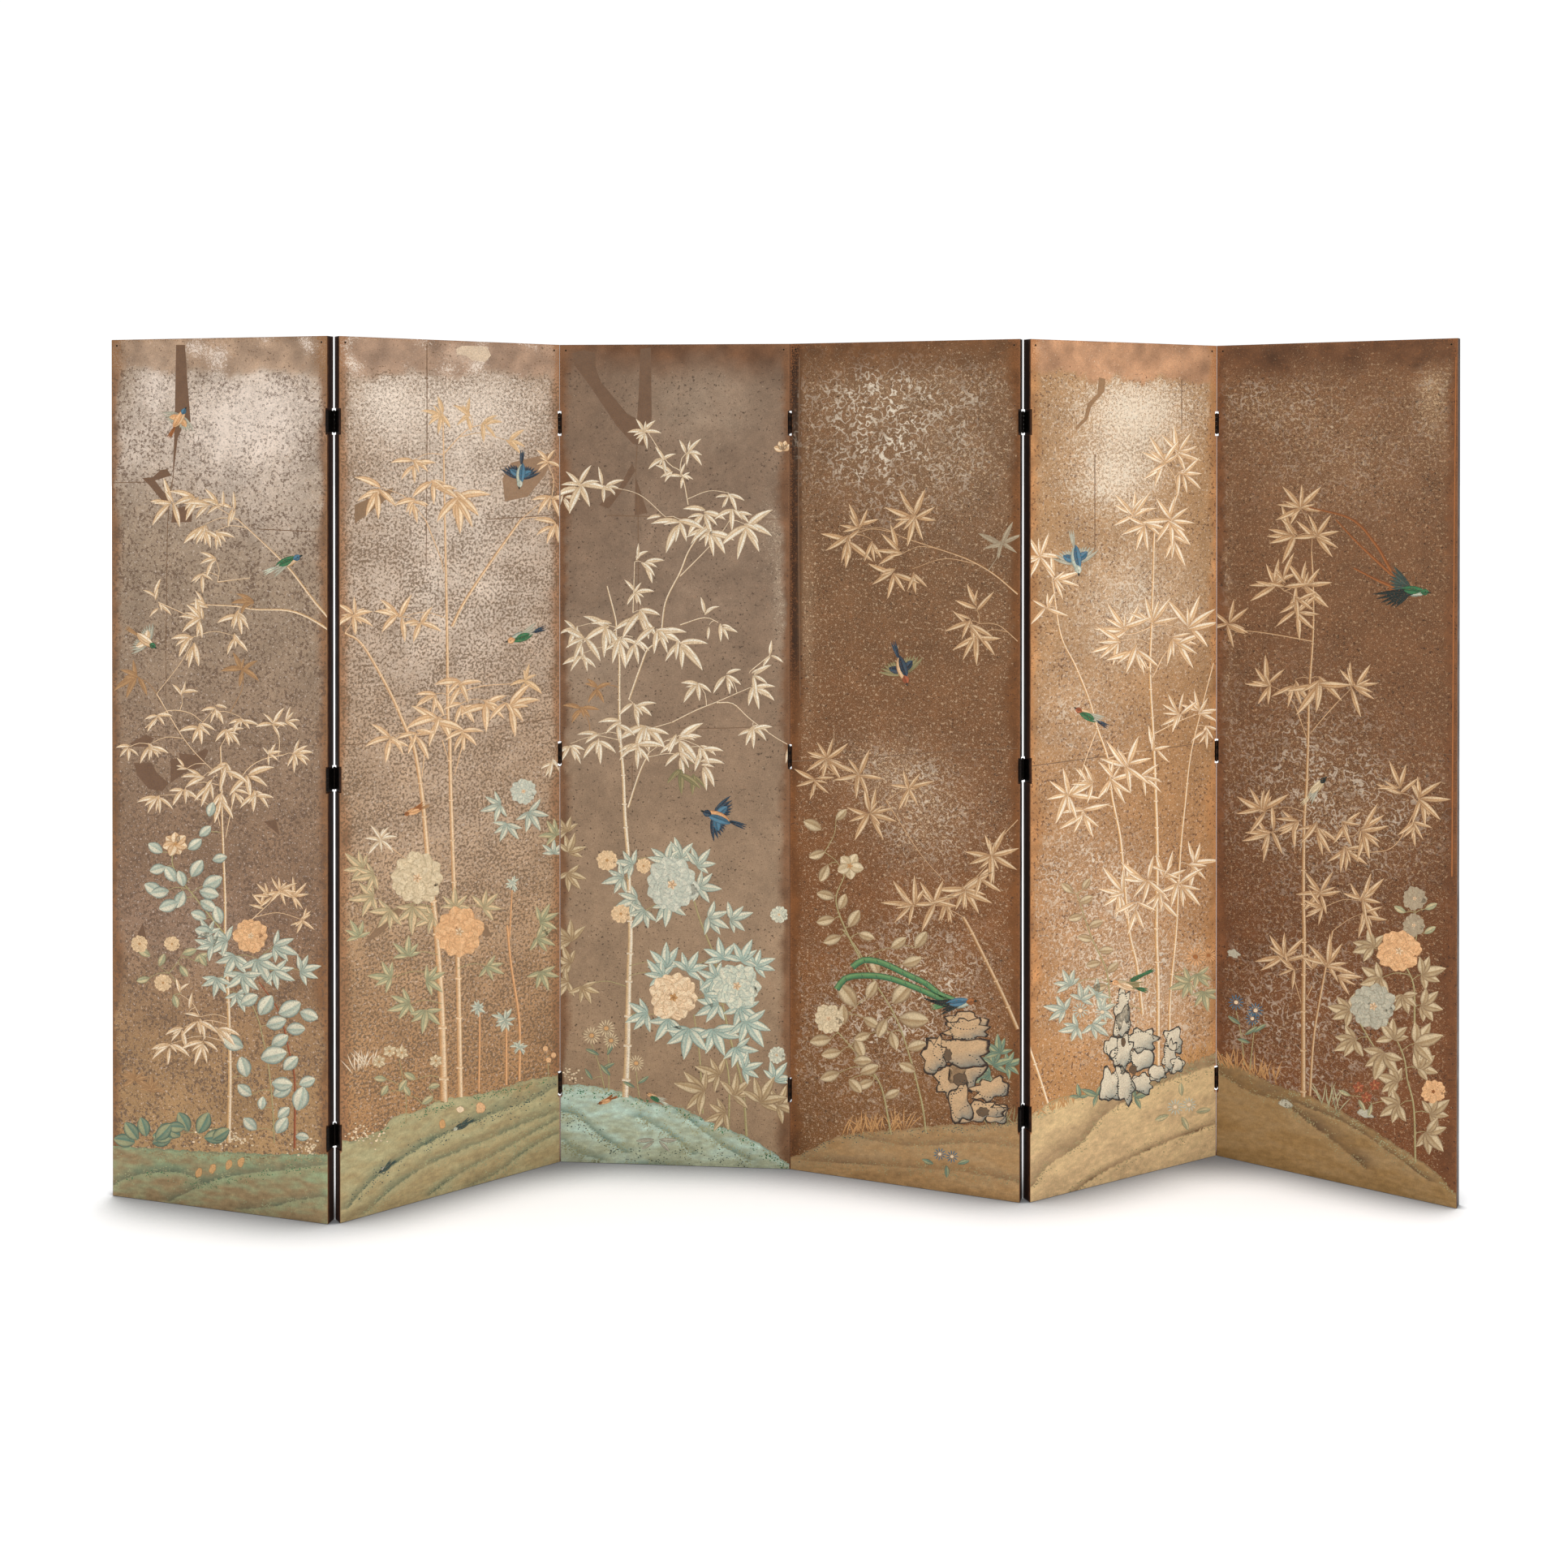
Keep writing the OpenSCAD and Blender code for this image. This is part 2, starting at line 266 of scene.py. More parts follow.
def edge_wear_effect():
    """A mask of the edges that hands and floors have rubbed, broken up by noise."""
    tree, takes, gives = effect("edge_wear", {"Radius": ("value", 0.002), "Amount": ("value", 1.0)},
                                {"Mask": "value"})
    rounded = put(tree, "Bevel", {"Radius": takes["Radius"]}, samples=4).outputs[0]
    true = put(tree, "NewGeometry").outputs["Normal"]
    dot = put(tree, "VectorMath", {0: rounded, 1: true}, operation="DOT_PRODUCT").outputs["Value"]
    breaks = clouds(tree, takes["Place"], 60.0, 4.0)
    worn = times(tree, ramp(tree, dot, 0.995, 0.9), ramp(tree, breaks, 0.35, 0.6))
    tree.links.new(times(tree, worn, takes["Amount"]), gives["Mask"])
    return tree


FLECKS, MOTTLE, CLOTH = flecks_effect(), mottle_effect(), cloth_effect()
STRINGS, GRAIN, EDGE_WEAR = strings_effect(), grain_effect(), edge_wear_effect()


def use(tree, group, place, **inputs):
    """Place a node group; its inputs are named in small letters."""
    made = tree.nodes.new("ShaderNodeGroup")
    made.node_tree = group
    fill(tree, made, {"Place": place, **{name.capitalize(): value for name, value in inputs.items()}})
    return made.outputs


def flecks(tree, place, scale, cover, softness):
    """The mask of the flecks."""
    return use(tree, FLECKS, place, scale=scale, cover=cover, softness=softness)["Mask"]


def mottled(tree, place, tint, scale, amount):
    """The colour, made uneven."""
    return use(tree, MOTTLE, place, colour=tint, scale=scale, amount=amount)["Colour"]


def material(name, **shader):
    """Start a material with one Principled shader, its plain values set on its own sockets."""
    made = bpy.data.materials.new(name)
    made.use_nodes = True
    tree = made.node_tree
    tree.nodes.clear()
    principled = put(tree, "BsdfPrincipled", shader)
    put(tree, "OutputMaterial", {"Surface": principled.outputs[0]})
    return made, tree, principled.inputs


def bump(tree, shader, height, strength, distance):
    """Give the shader a relief."""
    relief = put(tree, "Bump", {"Height": height, "Strength": strength, "Distance": distance})
    tree.links.new(relief.outputs[0], shader["Normal"])


def wood(name, dark, light, worn, wear, rough):
    """Stained wood with rubbed edges and a little dust in its grain."""
    made, tree, shader = material(name, **{"Specular IOR Level": 0.35})
    place = put(tree, "TexCoord").outputs["Object"]
    grain = use(tree, GRAIN, place, dark=colour(dark), light=colour(light))
    uneven = use(tree, MOTTLE, place, colour=grain["Colour"], scale=9.0, amount=0.12)
    edges = use(tree, EDGE_WEAR, place, radius=0.0022, amount=wear)["Mask"]
    scuffs = flecks(tree, place, 70.0, 0.12, 0.06)
    rubbed = sums(tree, "MAXIMUM", edges, times(tree, scuffs, 0.3))
    tree.links.new(mixed(tree, rubbed, uneven["Colour"], colour(worn)), shader["Base Color"])
    tree.links.new(ramp(tree, uneven["Cloud"], 0.3, 0.7, rough - 0.08, rough + 0.1), shader["Roughness"])
    bump(tree, shader, grain["Height"], 0.35, 0.0006)
    return made


def metal(name, dark, worn, wear, rough):
    """Old dark metal, bright where the pins and edges rub."""
    made, tree, shader = material(name, Metallic=0.85)
    place = put(tree, "TexCoord").outputs["Object"]
    patina = use(tree, MOTTLE, place, colour=colour(dark), scale=160.0, amount=0.3)
    edges = use(tree, EDGE_WEAR, place, radius=0.0006, amount=wear)["Mask"]
    bright = sums(tree, "MAXIMUM", edges, times(tree, flecks(tree, place, 420.0, 0.15, 0.05), 0.5))
    tree.links.new(mixed(tree, bright, patina["Colour"], colour(worn)), shader["Base Color"])
    tree.links.new(ramp(tree, patina["Cloud"], 0.3, 0.7, rough - 0.12, rough + 0.12), shader["Roughness"])
    bump(tree, shader, patina["Cloud"], 0.25, 0.0003)
    return made


def bare_paper():
    """The brown paper under the silver, seen only where that has worn off."""
    made, tree, shader = material("bare_paper", **{"Specular IOR Level": 0.2, "Roughness": 0.8})
    place = put(tree, "TexCoord").outputs["Object"]
    cloth = use(tree, CLOTH, place, amount=0.25)
    base = mottled(tree, place, colour("8a6849"), 30.0, 0.14)
    tree.links.new(mixed(tree, 1.0, base, cloth["Tone"], "MULTIPLY"), shader["Base Color"])
    bump(tree, shader, cloth["Height"], 0.3, 0.0003)
    return made


def carried(tree, name):
    """A value that the mesh brings with it."""
    return put(tree, "Attribute", attribute_name=name).outputs


def silvered_paper(number, silver, rust, dark, share, dots):
    """Silvered paper gone brown: the sheet brings its tone, and how much silver, rubbed ground, strings
    and dark spots each place has."""
    made, tree, shader = material(f"silvered_paper_{number}", **{"Specular IOR Level": 0.3})
    place, ground = carried(tree, "place")["Vector"], carried(tree, "tint")["Color"]
    state = carried(tree, "state")
    silvered, rubbed, strung = put(tree, "SeparateColor", {0: state["Color"]}).outputs[:3]
    for scale, amount in ((24.0, 0.09), (95.0, 0.09), (330.0, 0.17)):
        ground = mottled(tree, place, ground, scale, amount)
    rusty = flecks(tree, place, 95.0, share, 0.08)
    ground = mixed(tree, times(tree, rusty, 0.5), ground, colour(rust))
    dotted = flecks(tree, place, dots, state["Alpha"], 0.035)
    ground = mixed(tree, times(tree, dotted, 0.84), ground, colour(dark))
    coarse, fine = flecks(tree, place, 140.0, silvered, 0.03), flecks(tree, place, 420.0, silvered, 0.04)
    strings = times(tree, use(tree, STRINGS, place, scale=52.0, width=0.07)["Mask"], strung)
    flecked = times(tree, sums(tree, "MAXIMUM", coarse, fine), ramp(tree, silvered, 0.3, 0.6, 0.45, 1.0))
    leaf = mottled(tree, place, colour(silver), 60.0, 0.06)
    face = mixed(tree, times(tree, flecked, 0.92), ground, leaf)
    face = mixed(tree, strings, face, colour("eedfc8"))
    bright = sums(tree, "MAXIMUM", flecked, strings)
    bared = flecks(tree, place, 260.0, rubbed, 0.10)
    face = mixed(tree, times(tree, bared, 0.8), face, colour(rust))
    cloth = use(tree, CLOTH, place, amount=0.34)
    tree.links.new(mixed(tree, 1.0, face, cloth["Tone"], "MULTIPLY"), shader["Base Color"])
    tree.links.new(ramp(tree, bright, 0.0, 1.0, 0.66, 0.45), shader["Roughness"])
    tree.links.new(times(tree, bright, 0.3), shader["Metallic"])
    bump(tree, shader, sums(tree, "ADD", cloth["Height"], bright), 0.2, 0.00015)
    return made


def painted(number, brown):
    """Opaque paint, rubbed thin so that flecks of the brown ground come through."""
    made, tree, shader = material(f"painting_{number}", **{"Specular IOR Level": 0.25})
    place, tint = carried(tree, "place")["Vector"], carried(tree, "tint")
    washed = mottled(tree, place, tint["Color"], 55.0, 0.10)
    brushed = use(tree, MOTTLE, place, colour=washed, scale=260.0, amount=0.13)
    missing = flecks(tree, place, 330.0, tint["Alpha"], 0.08)
    face = mixed(tree, times(tree, missing, 0.65), brushed["Colour"], colour(brown))
    cloth = use(tree, CLOTH, place, amount=0.26)
    tree.links.new(mixed(tree, 1.0, face, cloth["Tone"], "MULTIPLY"), shader["Base Color"])
    tree.links.new(ramp(tree, brushed["Cloud"], 0.3, 0.7, 0.62, 0.78), shader["Roughness"])
    bump(tree, shader, cloth["Height"], 0.2, 0.00015)
    return made


def dress(node, made):
    """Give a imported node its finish."""
    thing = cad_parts[node]
    if not thing.material_slots:
        thing.data.materials.append(made)
    for slot in thing.material_slots:
        slot.material = made


def bake_place(panel, x, z, upper):
    """Where a point of the face lies in its map: the lower half of the panel left, the upper right."""
    across = 0.01 + 0.48 * x / panel.width + (0.5 if upper else 0.0)
    return across, (z - (1.037 if upper else -0.005)) / 1.107


def face_mesh(name, panel, points, faces, tints, made, states=None):
    """An object on a panel's face from points (along, up, proud), with its paint carried on them."""
    mesh = bpy.data.meshes.new(name)
    mesh.from_pydata([panel.place(*p) for p in points], [], faces)
    places = [(x, z, panel.number * 3.7) for x, z, _ in points]
    for label, kind, field, values in (("tint", "FLOAT_COLOR", "color", tints),
                                       ("place", "FLOAT_VECTOR", "vector", places),
                                       ("state", "FLOAT_COLOR", "color", states)):
        if values:
            mesh.attributes.new(label, kind, "POINT").data.foreach_set(field, [c for v in values for c in v])
    spots = []
    for face in faces:
        upper = sum(points[k][1] for k in face) / len(face) > PANEL_H / 2
        for k in face:
            spots += bake_place(panel, points[k][0], points[k][1], upper)
    mesh.uv_layers.new(name="OFBake").data.foreach_set("uv", spots)
    mesh.materials.append(made)
    thing = bpy.data.objects.new(name, mesh)
    bpy.context.scene.collection.objects.link(thing)
    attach(thing, f"panel_{panel.number}")
    return thing


# Tones of each panel's paper: top border, upper part, middle, foot, side borders, silver, rust, dark spots.
# Besides the paper's own colour they hold painted light and shade: lighter on the second and fifth panels,
# which face the lamp on the right, darker on the others, and a lighter foot that makes up for the lamps'
# fall-off low down
TONES = {
    1: ("ad8f75", "a28b73", "8a674a", "c09866", "885c39", "f6e4d4", "94683f", "6c5340"),
    2: ("aa8a71", "a78a6f", "ae875d", "b38251", "9f704c", "f1e0ce", "a0704a", "735a41"),
    3: ("714d33", "816853", "9e8368", "a08365", "744b2c", "cdb79d", "8a5f3e", "4a382b"),
    4: ("6e4829", "765234", "7a4b25", "7e532b", "72451e", "efd2ab", "8e5a34", "3d2516"),
    5: ("bd8e6a", "af865b", "af7d4d", "c68f55", "be8755", "fcead1", "ad6f40", "66412a"),
    6: ("6a462c", "775134", "693e1e", "7b4723", "754a2b", "d7b68d", "8e5a34", "3b2415"),
}

# How much of each panel's paper is rust, silver flecks and dark spots, how deep the ragged edge under
# the top border is, and how close the dark spots stand
SHARES = {
    1: (0.20, 0.30, 0.44, 0.014, 155), 2: (0.20, 0.32, 0.50, 0.014, 150), 3: (0.14, 0.20, 0.29, 0.08, 130),
    4: (0.30, 0.34, 0.28, 0.12, 120), 5: (0.20, 0.32, 0.36, 0.012, 120), 6: (0.30, 0.34, 0.30, 0.05, 120),
}

# Clouds where more silver is left, paler also as a painted sheen where the lamps glint on the silver near
# the tops of the first, second and fifth panels: x, y, half width, half height, how much paler the paper, how
# much more flecks, and how much strings
CLOUDS = {
    1: table("315 500 95 58 0.62 0.17 0, 280 560 110 70 0.42 0.08 0, 190 470 25 45 0.5 0.14 0, "
            "160 545 35 40 0.35 0 0, 350 640 60 50 0.2 0 0, 230 1150 120 70 0.1 0 0"),
    2: table("590 500 105 56 0.34 0.16 0, 560 600 120 90 0.4 0.1 0, 470 490 45 50 0.4 0.14 0, "
            "560 740 150 120 0.5 0 0, 560 1010 170 200 0.22 0 0, 575 437 24 12 1.2 0 0"),
    3: table("860 500 80 50 0.25 0 0, 850 700 130 150 0.12 0 0, 730 840 60 90 0.2 0 0, "
            "955 650 22 60 0.1 0.2 0, 965 750 12 60 0.2 0.26 0"),
    4: table("1080 540 75 75 0.05 0 1.0, 1110 480 90 30 0.05 0.02 0.7, 1180 560 60 80 0.05 0.03 0.3, "
            "1090 950 60 40 0.05 0.06 0.3, 1140 1010 60 60 0.05 0.06 0.6, 1070 1270 90 90 0 0.02 0.55, "
            "1140 1210 70 70 0.01 0.05 0.7, 995 780 8 110 0.08 0.03 0"),
    5: table("1400 505 78 50 0.03 0.235 1.0, 1375 590 60 45 0.02 0.2 1.0, 1395 740 70 70 0.12 0.1 0.8, "
            "1330 880 60 70 0.04 0.05 0.5, 1320 1040 50 40 0.02 0.03 0.5, 1360 1130 90 80 0.04 0.07 0.9, "
            "1410 1240 90 70 0.08 0.08 1.0"),
    6: table("1560 500 70 30 0.01 0.05 0.35, 1650 560 120 80 0.03 0.05 0.2, 1765 480 20 60 0.1 0.1 0.2, "
            "1600 920 80 90 0.01 0.03 0.35, 1660 1010 110 90 0.03 0.05 0.5, "
            "1600 1260 100 100 0.01 0.03 0.5, 1500 760 14 200 0.1 0.1 0.3"),
}

# How far the paper reaches over the crack, left and right, between two panels that fold forward;
# there it is painted dark brown, a painted shade for the crack in shadow
REACH = 0.00098
SHADED_CRACK_COVERS = {2: (0, REACH), 3: (REACH, REACH), 4: (REACH, 0), 5: (0, REACH), 6: (REACH, 0)}

# Height at which the top border starts, width of the side borders, and the painted shadow that the third
# panel's edge casts on the fourth panel's left edge: its width, the height at which it starts, and how it
# fades in
TOP_BORDER, SIDE_BORDER = 2.04, 0.028
SHADOW_STRIP, SHADOW_STRIP_FOOT, SHADOW_STRIP_FADE = 0.027, 1.15, (0.004, 0.2)
# Heights up to which the tones of the paper's foot and of its middle reach
FOOT_HEIGHT, MIDDLE_HEIGHT = 0.7, 1.5
# Finest lines of the sheet's mesh, near its edges; elsewhere it has one a centimetre
FINE, RIM = (0.0015, NOTCH_DEPTH, 0.008, NAIL_NEAR, NAIL_FAR), (0.004, 0.008)
# How far the sheet stands before the paper, and how far its worn edges draw back
SHEET_PROUD, WORN = 0.00003, (0.00002, 0.0007)


def sheet_lines(panel, left, right):
    """The upright and the level lines of the sheet's mesh, which follow its notches and nails."""
    wide = panel.width
    columns = sorted({-left, 0.0, wide, wide + right, *FINE} | {wide - d for d in FINE}
                     | {0.025 + k * 0.01 for k in range(56)})
    cuts = {h + s * NOTCH for h in HINGES for s in (-1, 1)}
    cuts |= {NAIL_NEAR, NAIL_FAR, PANEL_H - NAIL_NEAR, PANEL_H - NAIL_FAR}
    rows = sorted({0.0, *RIM, PANEL_H / 2, PANEL_H} | {PANEL_H - d for d in RIM} | cuts
                  | {z for z in (k * 0.01 for k in range(3, 212)) if all(abs(z - c) > RIM[0] for c in cuts)})
    return columns, rows


def paper_at(panel, x, z, tones):
    """The paper's tone at a place, and how much silver, rubbed ground, strings and dark spots it has."""
    number, wide = panel.number, panel.width
    top, upper, middle, foot, side, silver = tones
    _, flecked, spots, ragged, _ = SHARES[number]

    def wander(x, z, size, seed):
        """Noise that wanders over the sheet, each seed in its own way."""
        return noise.noise(Vector((x * size, z * size, seed * 7.3 + number)))

    px, py = panel.seen(x, z)
    if z < FOOT_HEIGHT:
        tone = between(foot, middle, z / FOOT_HEIGHT)
    else:
        tone = between(middle, upper, min(1.0, (z - FOOT_HEIGHT) / (MIDDLE_HEIGHT - FOOT_HEIGHT)))
    crown = clamp((z - TOP_BORDER + 0.03 * wander(x, 0.3, 9, 1) + 0.014 * wander(x, z, 45, 2)) / ragged)
    edge = min(x, wide - x)
    reach = SIDE_BORDER + 0.03 * wander(0.5, z, 6, 3) + 0.014 * wander(x, z, 60, 4)
    margin = clamp(1.6 * (1 - max(0.0, edge) / max(0.008, reach)))
    pale = more = strung = 0.0
    for cx, cy, rx, ry, silver_and_sheen, richer, stringy in CLOUDS[number]:
        part = math.exp(-((px - cx) / rx) ** 2 - ((py - cy) / ry) ** 2)
        pale, more, strung = pale + silver_and_sheen * part, more + richer * part, strung + stringy * part
    pale += 0.35 * pale * (wander(x, z, 30, 5) + wander(x, z, 75, 6))
    whole = (1 - 0.85 * crown) * (1 - 0.85 * margin)
    tone = between(between(tone, side, 0.8 * margin), top, crown * (1 - 0.5 * margin))
    # Paler toward the silver where more is left, in part a painted sheen
    tone = between(tone, silver, clamp(pale * whole, 0.0, 0.92))
    tone = dim(tone, 1 + 0.16 * wander(x, z, 10, 7) + 0.12 * wander(x, z, 45, 8)
               + 0.4 * max(crown, margin) * wander(x, z, 26, 11))
    # Painted shadow of the third panel's edge: the fourth panel's paper darkened, with fewer silver flecks,
    # along its left edge
    if number == 4 and z > SHADOW_STRIP_FOOT:
        strip = clamp((SHADOW_STRIP - x) / SHADOW_STRIP_FADE[0]) * min(1.0, (z - SHADOW_STRIP_FOOT) / SHADOW_STRIP_FADE[1])
        tone, more = dim(tone, 1 - 0.72 * strip), more - strip
    bare = 0.34 * margin + 0.2 * crown + max(0.0, 1 - edge / 0.006) * 0.3
    bare += 0.25 * max(0.0, 1 - z / 0.02) + 0.3 * max(0.0, 1 - (PANEL_H - z) / 0.012)
    # Over the crack the sheet is painted dark brown: painted shade standing for the crack in shadow
    if x < 0 or x > wide:
        tone, bare, more, strung = colour("2c1c12"), 0.0, -1.0, 0.0
    broken = (0.5 if number < 3 else 0.15) * crown * wander(x, z, 16, 12)
    return tone, (clamp(flecked * (1 - 0.35 * crown) * (1 - 0.6 * margin) + more * whole + broken, 0.0, 0.9),
                  clamp(bare, 0.0, 0.9), clamp(strung * whole * (0.7 + 0.9 * wander(x, z, 25, 9))),
                  clamp(spots * (1 - 0.4 * crown) + 0.12 * wander(x, z, 14, 10), 0.0, 0.8))


def silver_sheet(panel):
    """The silvered paper on a panel: a sheet with worn edges, cut out round the hinges and nails."""
    wide = panel.width
    rough = random.Random(40 + panel.number)
    left, right = SHADED_CRACK_COVERS.get(panel.number, (0, 0))
    columns, rows = sheet_lines(panel, left, right)
    tones = [colour(code) for code in TONES[panel.number][:6]]
    points, tints, states = [], [], []
    for z in rows:
        for x in columns:
            wobble = rough.uniform(*WORN)
            shift = wobble if x == 0 and not left else -wobble if x == wide and not right else 0.0
            drop = rough.uniform(0, 0.0008) if z == rows[-1] and 0.001 < x < wide - 0.001 else 0.0
            points.append((x + shift, z - drop + (wobble if z == 0 else 0.0), SHEET_PROUD))
            tone, state = paper_at(panel, x, z, tones)
            tints.append(tone)
            states.append(state)
    faces, line = [], len(columns)
    for r in range(len(rows) - 1):
        for c in range(line - 1):
            x, z = (columns[c] + columns[c + 1]) / 2, (rows[r] + rows[r + 1]) / 2
            nail = all(NAIL_NEAR < d < NAIL_FAR for d in (min(x, wide - x), min(z, PANEL_H - z)))
            if not nail and not panel.notched(x, z):
                k = r * line + c
                faces.append((k, k + 1, k + 1 + line, k + line))
    rust, _, _, _, dots = SHARES[panel.number]
    made = silvered_paper(panel.number, *TONES[panel.number][5:], rust, dots)
    return face_mesh(f"panel_{panel.number}_silver", panel, points, faces, tints, made, states)


# Paints: outline, body, midrib
PAINTS = {
    "cream": ("b88955", "fae7cb", "dab07b"),
    "pale": ("b9966a", "f4e9d3", "d8b78b"),
    "gold": ("b27b43", "ffeed2", "dfae72"),
    "tan": ("8c5f38", "e6c9a2", "b98a58"),
    "amber": ("a9733f", "d9a871", "b98550"),
    "faded": ("9a714a", "bd9468", "a27a54"),
    "blush": ("c39a6c", "efcfa4", "d8af80"),
    "ghost": ("94836a", "b7a68a", "9c8a70"),
    "teal": ("6a8078", "e3dcc2", "aab7a6"),
    "mint": ("6a8c84", "e3dfc6", "a3b8ab"),
    "sage": ("7a7c5c", "d2c195", "9a9f7e"),
    "olive": ("6f6a4a", "a5966c", "77744f"),
    "ivory": ("846748", "d9c39d", "a98c64"),
    "heart": ("3f6157", "a9a981", "5f8272"),
    "moss": ("8d7e58", "e3c599", "b3a784"),
    "green": ("2b5b3e", "3f7b52", "2a5238"),
    "orange": ("b87b4b", "efbf8d", "d79d68"),
    "rose": ("bb8856", "f7ddb8", "d5a878"),
    "sky": ("8a9a8f", "d8d6c2", "aab5a5"),
    "snow": ("a68d68", "e6d2ae", "c9b088"),
    "slate": ("7d7b6a", "c6bfa8", "a5a493"),
    "navy": ("1f2c38", "3d5260", "1c2733"),
    "blue": ("355a6c", "568399", "31576b"),
    "brick": ("8a4a30", "b96a48", "7c4029"),
    "rust": ("8c5230", "b1703f", "7d4a2a"),
    "stem": ("94885f", "c2b488", "a1935f"),
    "dark": ("34443f", "4b5d55", "30403b"),
    "ink": ("1f2a28", "2d3a37", "1c2523"),
    "plume": ("2c5540", "4a8055", "76a068"),
    "stone": ("332c27", "d0ad84", "8f8a78"),
    "chalk": ("2f3333", "e2d5ba", "a9a996"),
    "shadow": ("39454a", "687a79", "39454a"),
    "dusk": ("3a3129", "6a5743", "4a3d32"),
    "seam": ("755a44", "7f634b", "755a44"),
}
PAINTS = {name: tuple(colour(code) for code in codes) for name, codes in PAINTS.items()}

# Which layer of paint each kind of motif starts in; the layers are 6 thousandths of a millimetre apart
TEAR, GROUND, STALK, LEAF, FLOWER, TOP = 0, 2, 6, 13, 30, 46
LAYER, UNDERCOAT = 0.000006, 0.00005
# How far paint keeps from a panel's edge, and beside a notch
EDGE, NOTCH_EDGE = 0.0008, 0.0051


class Painting:
    """All that is painted on one panel. Places are points of the photograph, angles in degrees, up at 90."""

    def __init__(self, panel):
        self.panel = panel
        self.chance = random.Random(900 + 17 * panel.number)
        self.vary = self.chance.uniform
        self.parts, self.stems, self.count = [], [], 0
        # How worn the paint is, how broad lobed leaves are, and how dark the roots of leaves
        self.wear, self.broad, self.root = 0.34, 0.38, 0.48

    def lay(self, layer, span, points, faces, tones):
        """Put down one stroke; strokes of one kind take turns over a span of layers."""
        self.count += 1
        self.parts.append((layer + self.count % span, points, faces, tones))

    def tone(self, base, swing=0.05):
        """A paint's colour, a little lighter or darker each time, with its wear as alpha."""
        factor = 1 + self.vary(-swing, swing)
        return tuple(c * factor for c in base[:3]) + (self.wear,)

    def tones(self, paint, swing=0.05):
        """The outline, body and midrib of a paint."""
        return [self.tone(c, swing) for c in PAINTS[paint]]

    def strip(self, layer, span, across, points, tones):
        """Lay a stroke whose points stand in rows of so many across."""
        faces = [(k + c, k + c + 1, k + c + 1 + across, k + c + across)
                 for k in range(0, len(points) - across, across) for c in range(across - 1)]
        self.lay(layer, span, points, faces, tones)

    def blade(self, x, y, length, angle, width, paint, bend=0.0, rounded=False, layer=LEAF, span=16, rows=7):
        """A leaf, petal or feather: outlined, with one half shaded, in six points across."""
        outline, body, rib = self.tones(paint)
        heading, turn = math.radians(angle), math.radians(bend) / (rows - 1)
        points, tones, step, rim = [], [], length / (rows - 1), 0.6 if width > 3 else 0.85
        shade = between(body, rib, 0.5)
        for k in range(rows):
            t = k / (rows - 1)
            half = width / 2 * (math.sin(math.pi * clamp(t, 0.015, 0.985)) ** 0.6 if rounded
                                else 3.0 * max(t, 0.012) ** 0.62 * max(1 - t, 0.01) ** 0.95)
            sx, sy = math.sin(heading) * half, math.cos(heading) * half
            root = self.root * max(0.0, 1 - t / 0.4)
            for side, tone in zip((-1, -rim, -0.12, 0.1, rim, 1), (outline, body, body, rib, shade, outline)):
                points.append((x + sx * side, y + sy * side))
                tones.append(between(tone, outline, root))
            heading += turn
            x, y = x + step * math.cos(heading), y - step * math.sin(heading)
        self.strip(layer, span, 6, points, tones)

    def fans(self, paint, style, rows, slim=0.195):
        """Fans of bamboo leaves: x, y, leaf length, leaves, middle direction, spread."""
        drooping, vary = style == "drooping", self.vary
        slim *= 1.18 if drooping else 1
        for x, y, length, leaves, lean, spread in table(rows):
            self.join(x, y, 95, paint)
            ahead = length * max(0.1, 0.4 - spread / 900)
            for k in range(leaves + leaves // 2):
                part = k / max(1, leaves - 1) - 0.5 if k < leaves else vary(-0.5, 0.5)
                angle = lean + spread * part + vary(-12, 12)
                size = length * vary(0.72, 1.06) * (1 if k < leaves else 0.66)
                out = ahead * vary(-0.2, 1)
                u, v = x + out * cosine(lean), y - out * sine(lean)
                bend = -38 * cosine(angle) if drooping else vary(-12, 12)
                if drooping:
                    angle += 16 * cosine(angle)
                self.blade(u + vary(-1.5, 1.5), v + vary(-1.5, 1.5), size, angle,
                           max(2.6, size * slim * vary(0.85, 1.12)), paint, bend)

    def smooth(self, path, gap=7.0):
        """A smooth run of points along a path."""
        spots = [Vector(p[:2]) for p in table(path)]
        ends = [spots[0] * 2 - spots[1]] + spots + [spots[-1] * 2 - spots[-2]]
        run = []
        for k in range(1, len(ends) - 2):
            a, b, c, d = ends[k - 1:k + 3]
            steps = max(1, round((c - b).length / gap))
            for s in range(steps):
                t = s / steps
                run.append(0.5 * (2 * b + (c - a) * t + (2 * a - 5 * b + 4 * c - d) * t * t
                                  + (3 * b - a - 3 * c + d) * t ** 3))
        return run + [spots[-1]]

    def join(self, x, y, reach, paint="stem"):
        """A thin twig from the nearest stem at or below a leaf, where one is within reach."""
        near = [s for s in self.stems if s.y > y - 8 and abs(s.x - x) + abs(s.y - y) < 2 * reach]
        if near:
            foot = min(near, key=lambda s: (s - Vector((x, y))).length)
            gap = foot - Vector((x, y))
            if 5 < gap.length < reach:
                bow = (x + gap.x * 0.5 + gap.y * 0.12, y + gap.y * 0.5 - abs(gap.x) * 0.12)
                self.line([(x, y), bow, tuple(foot)], 0.72, 1.08, paint)

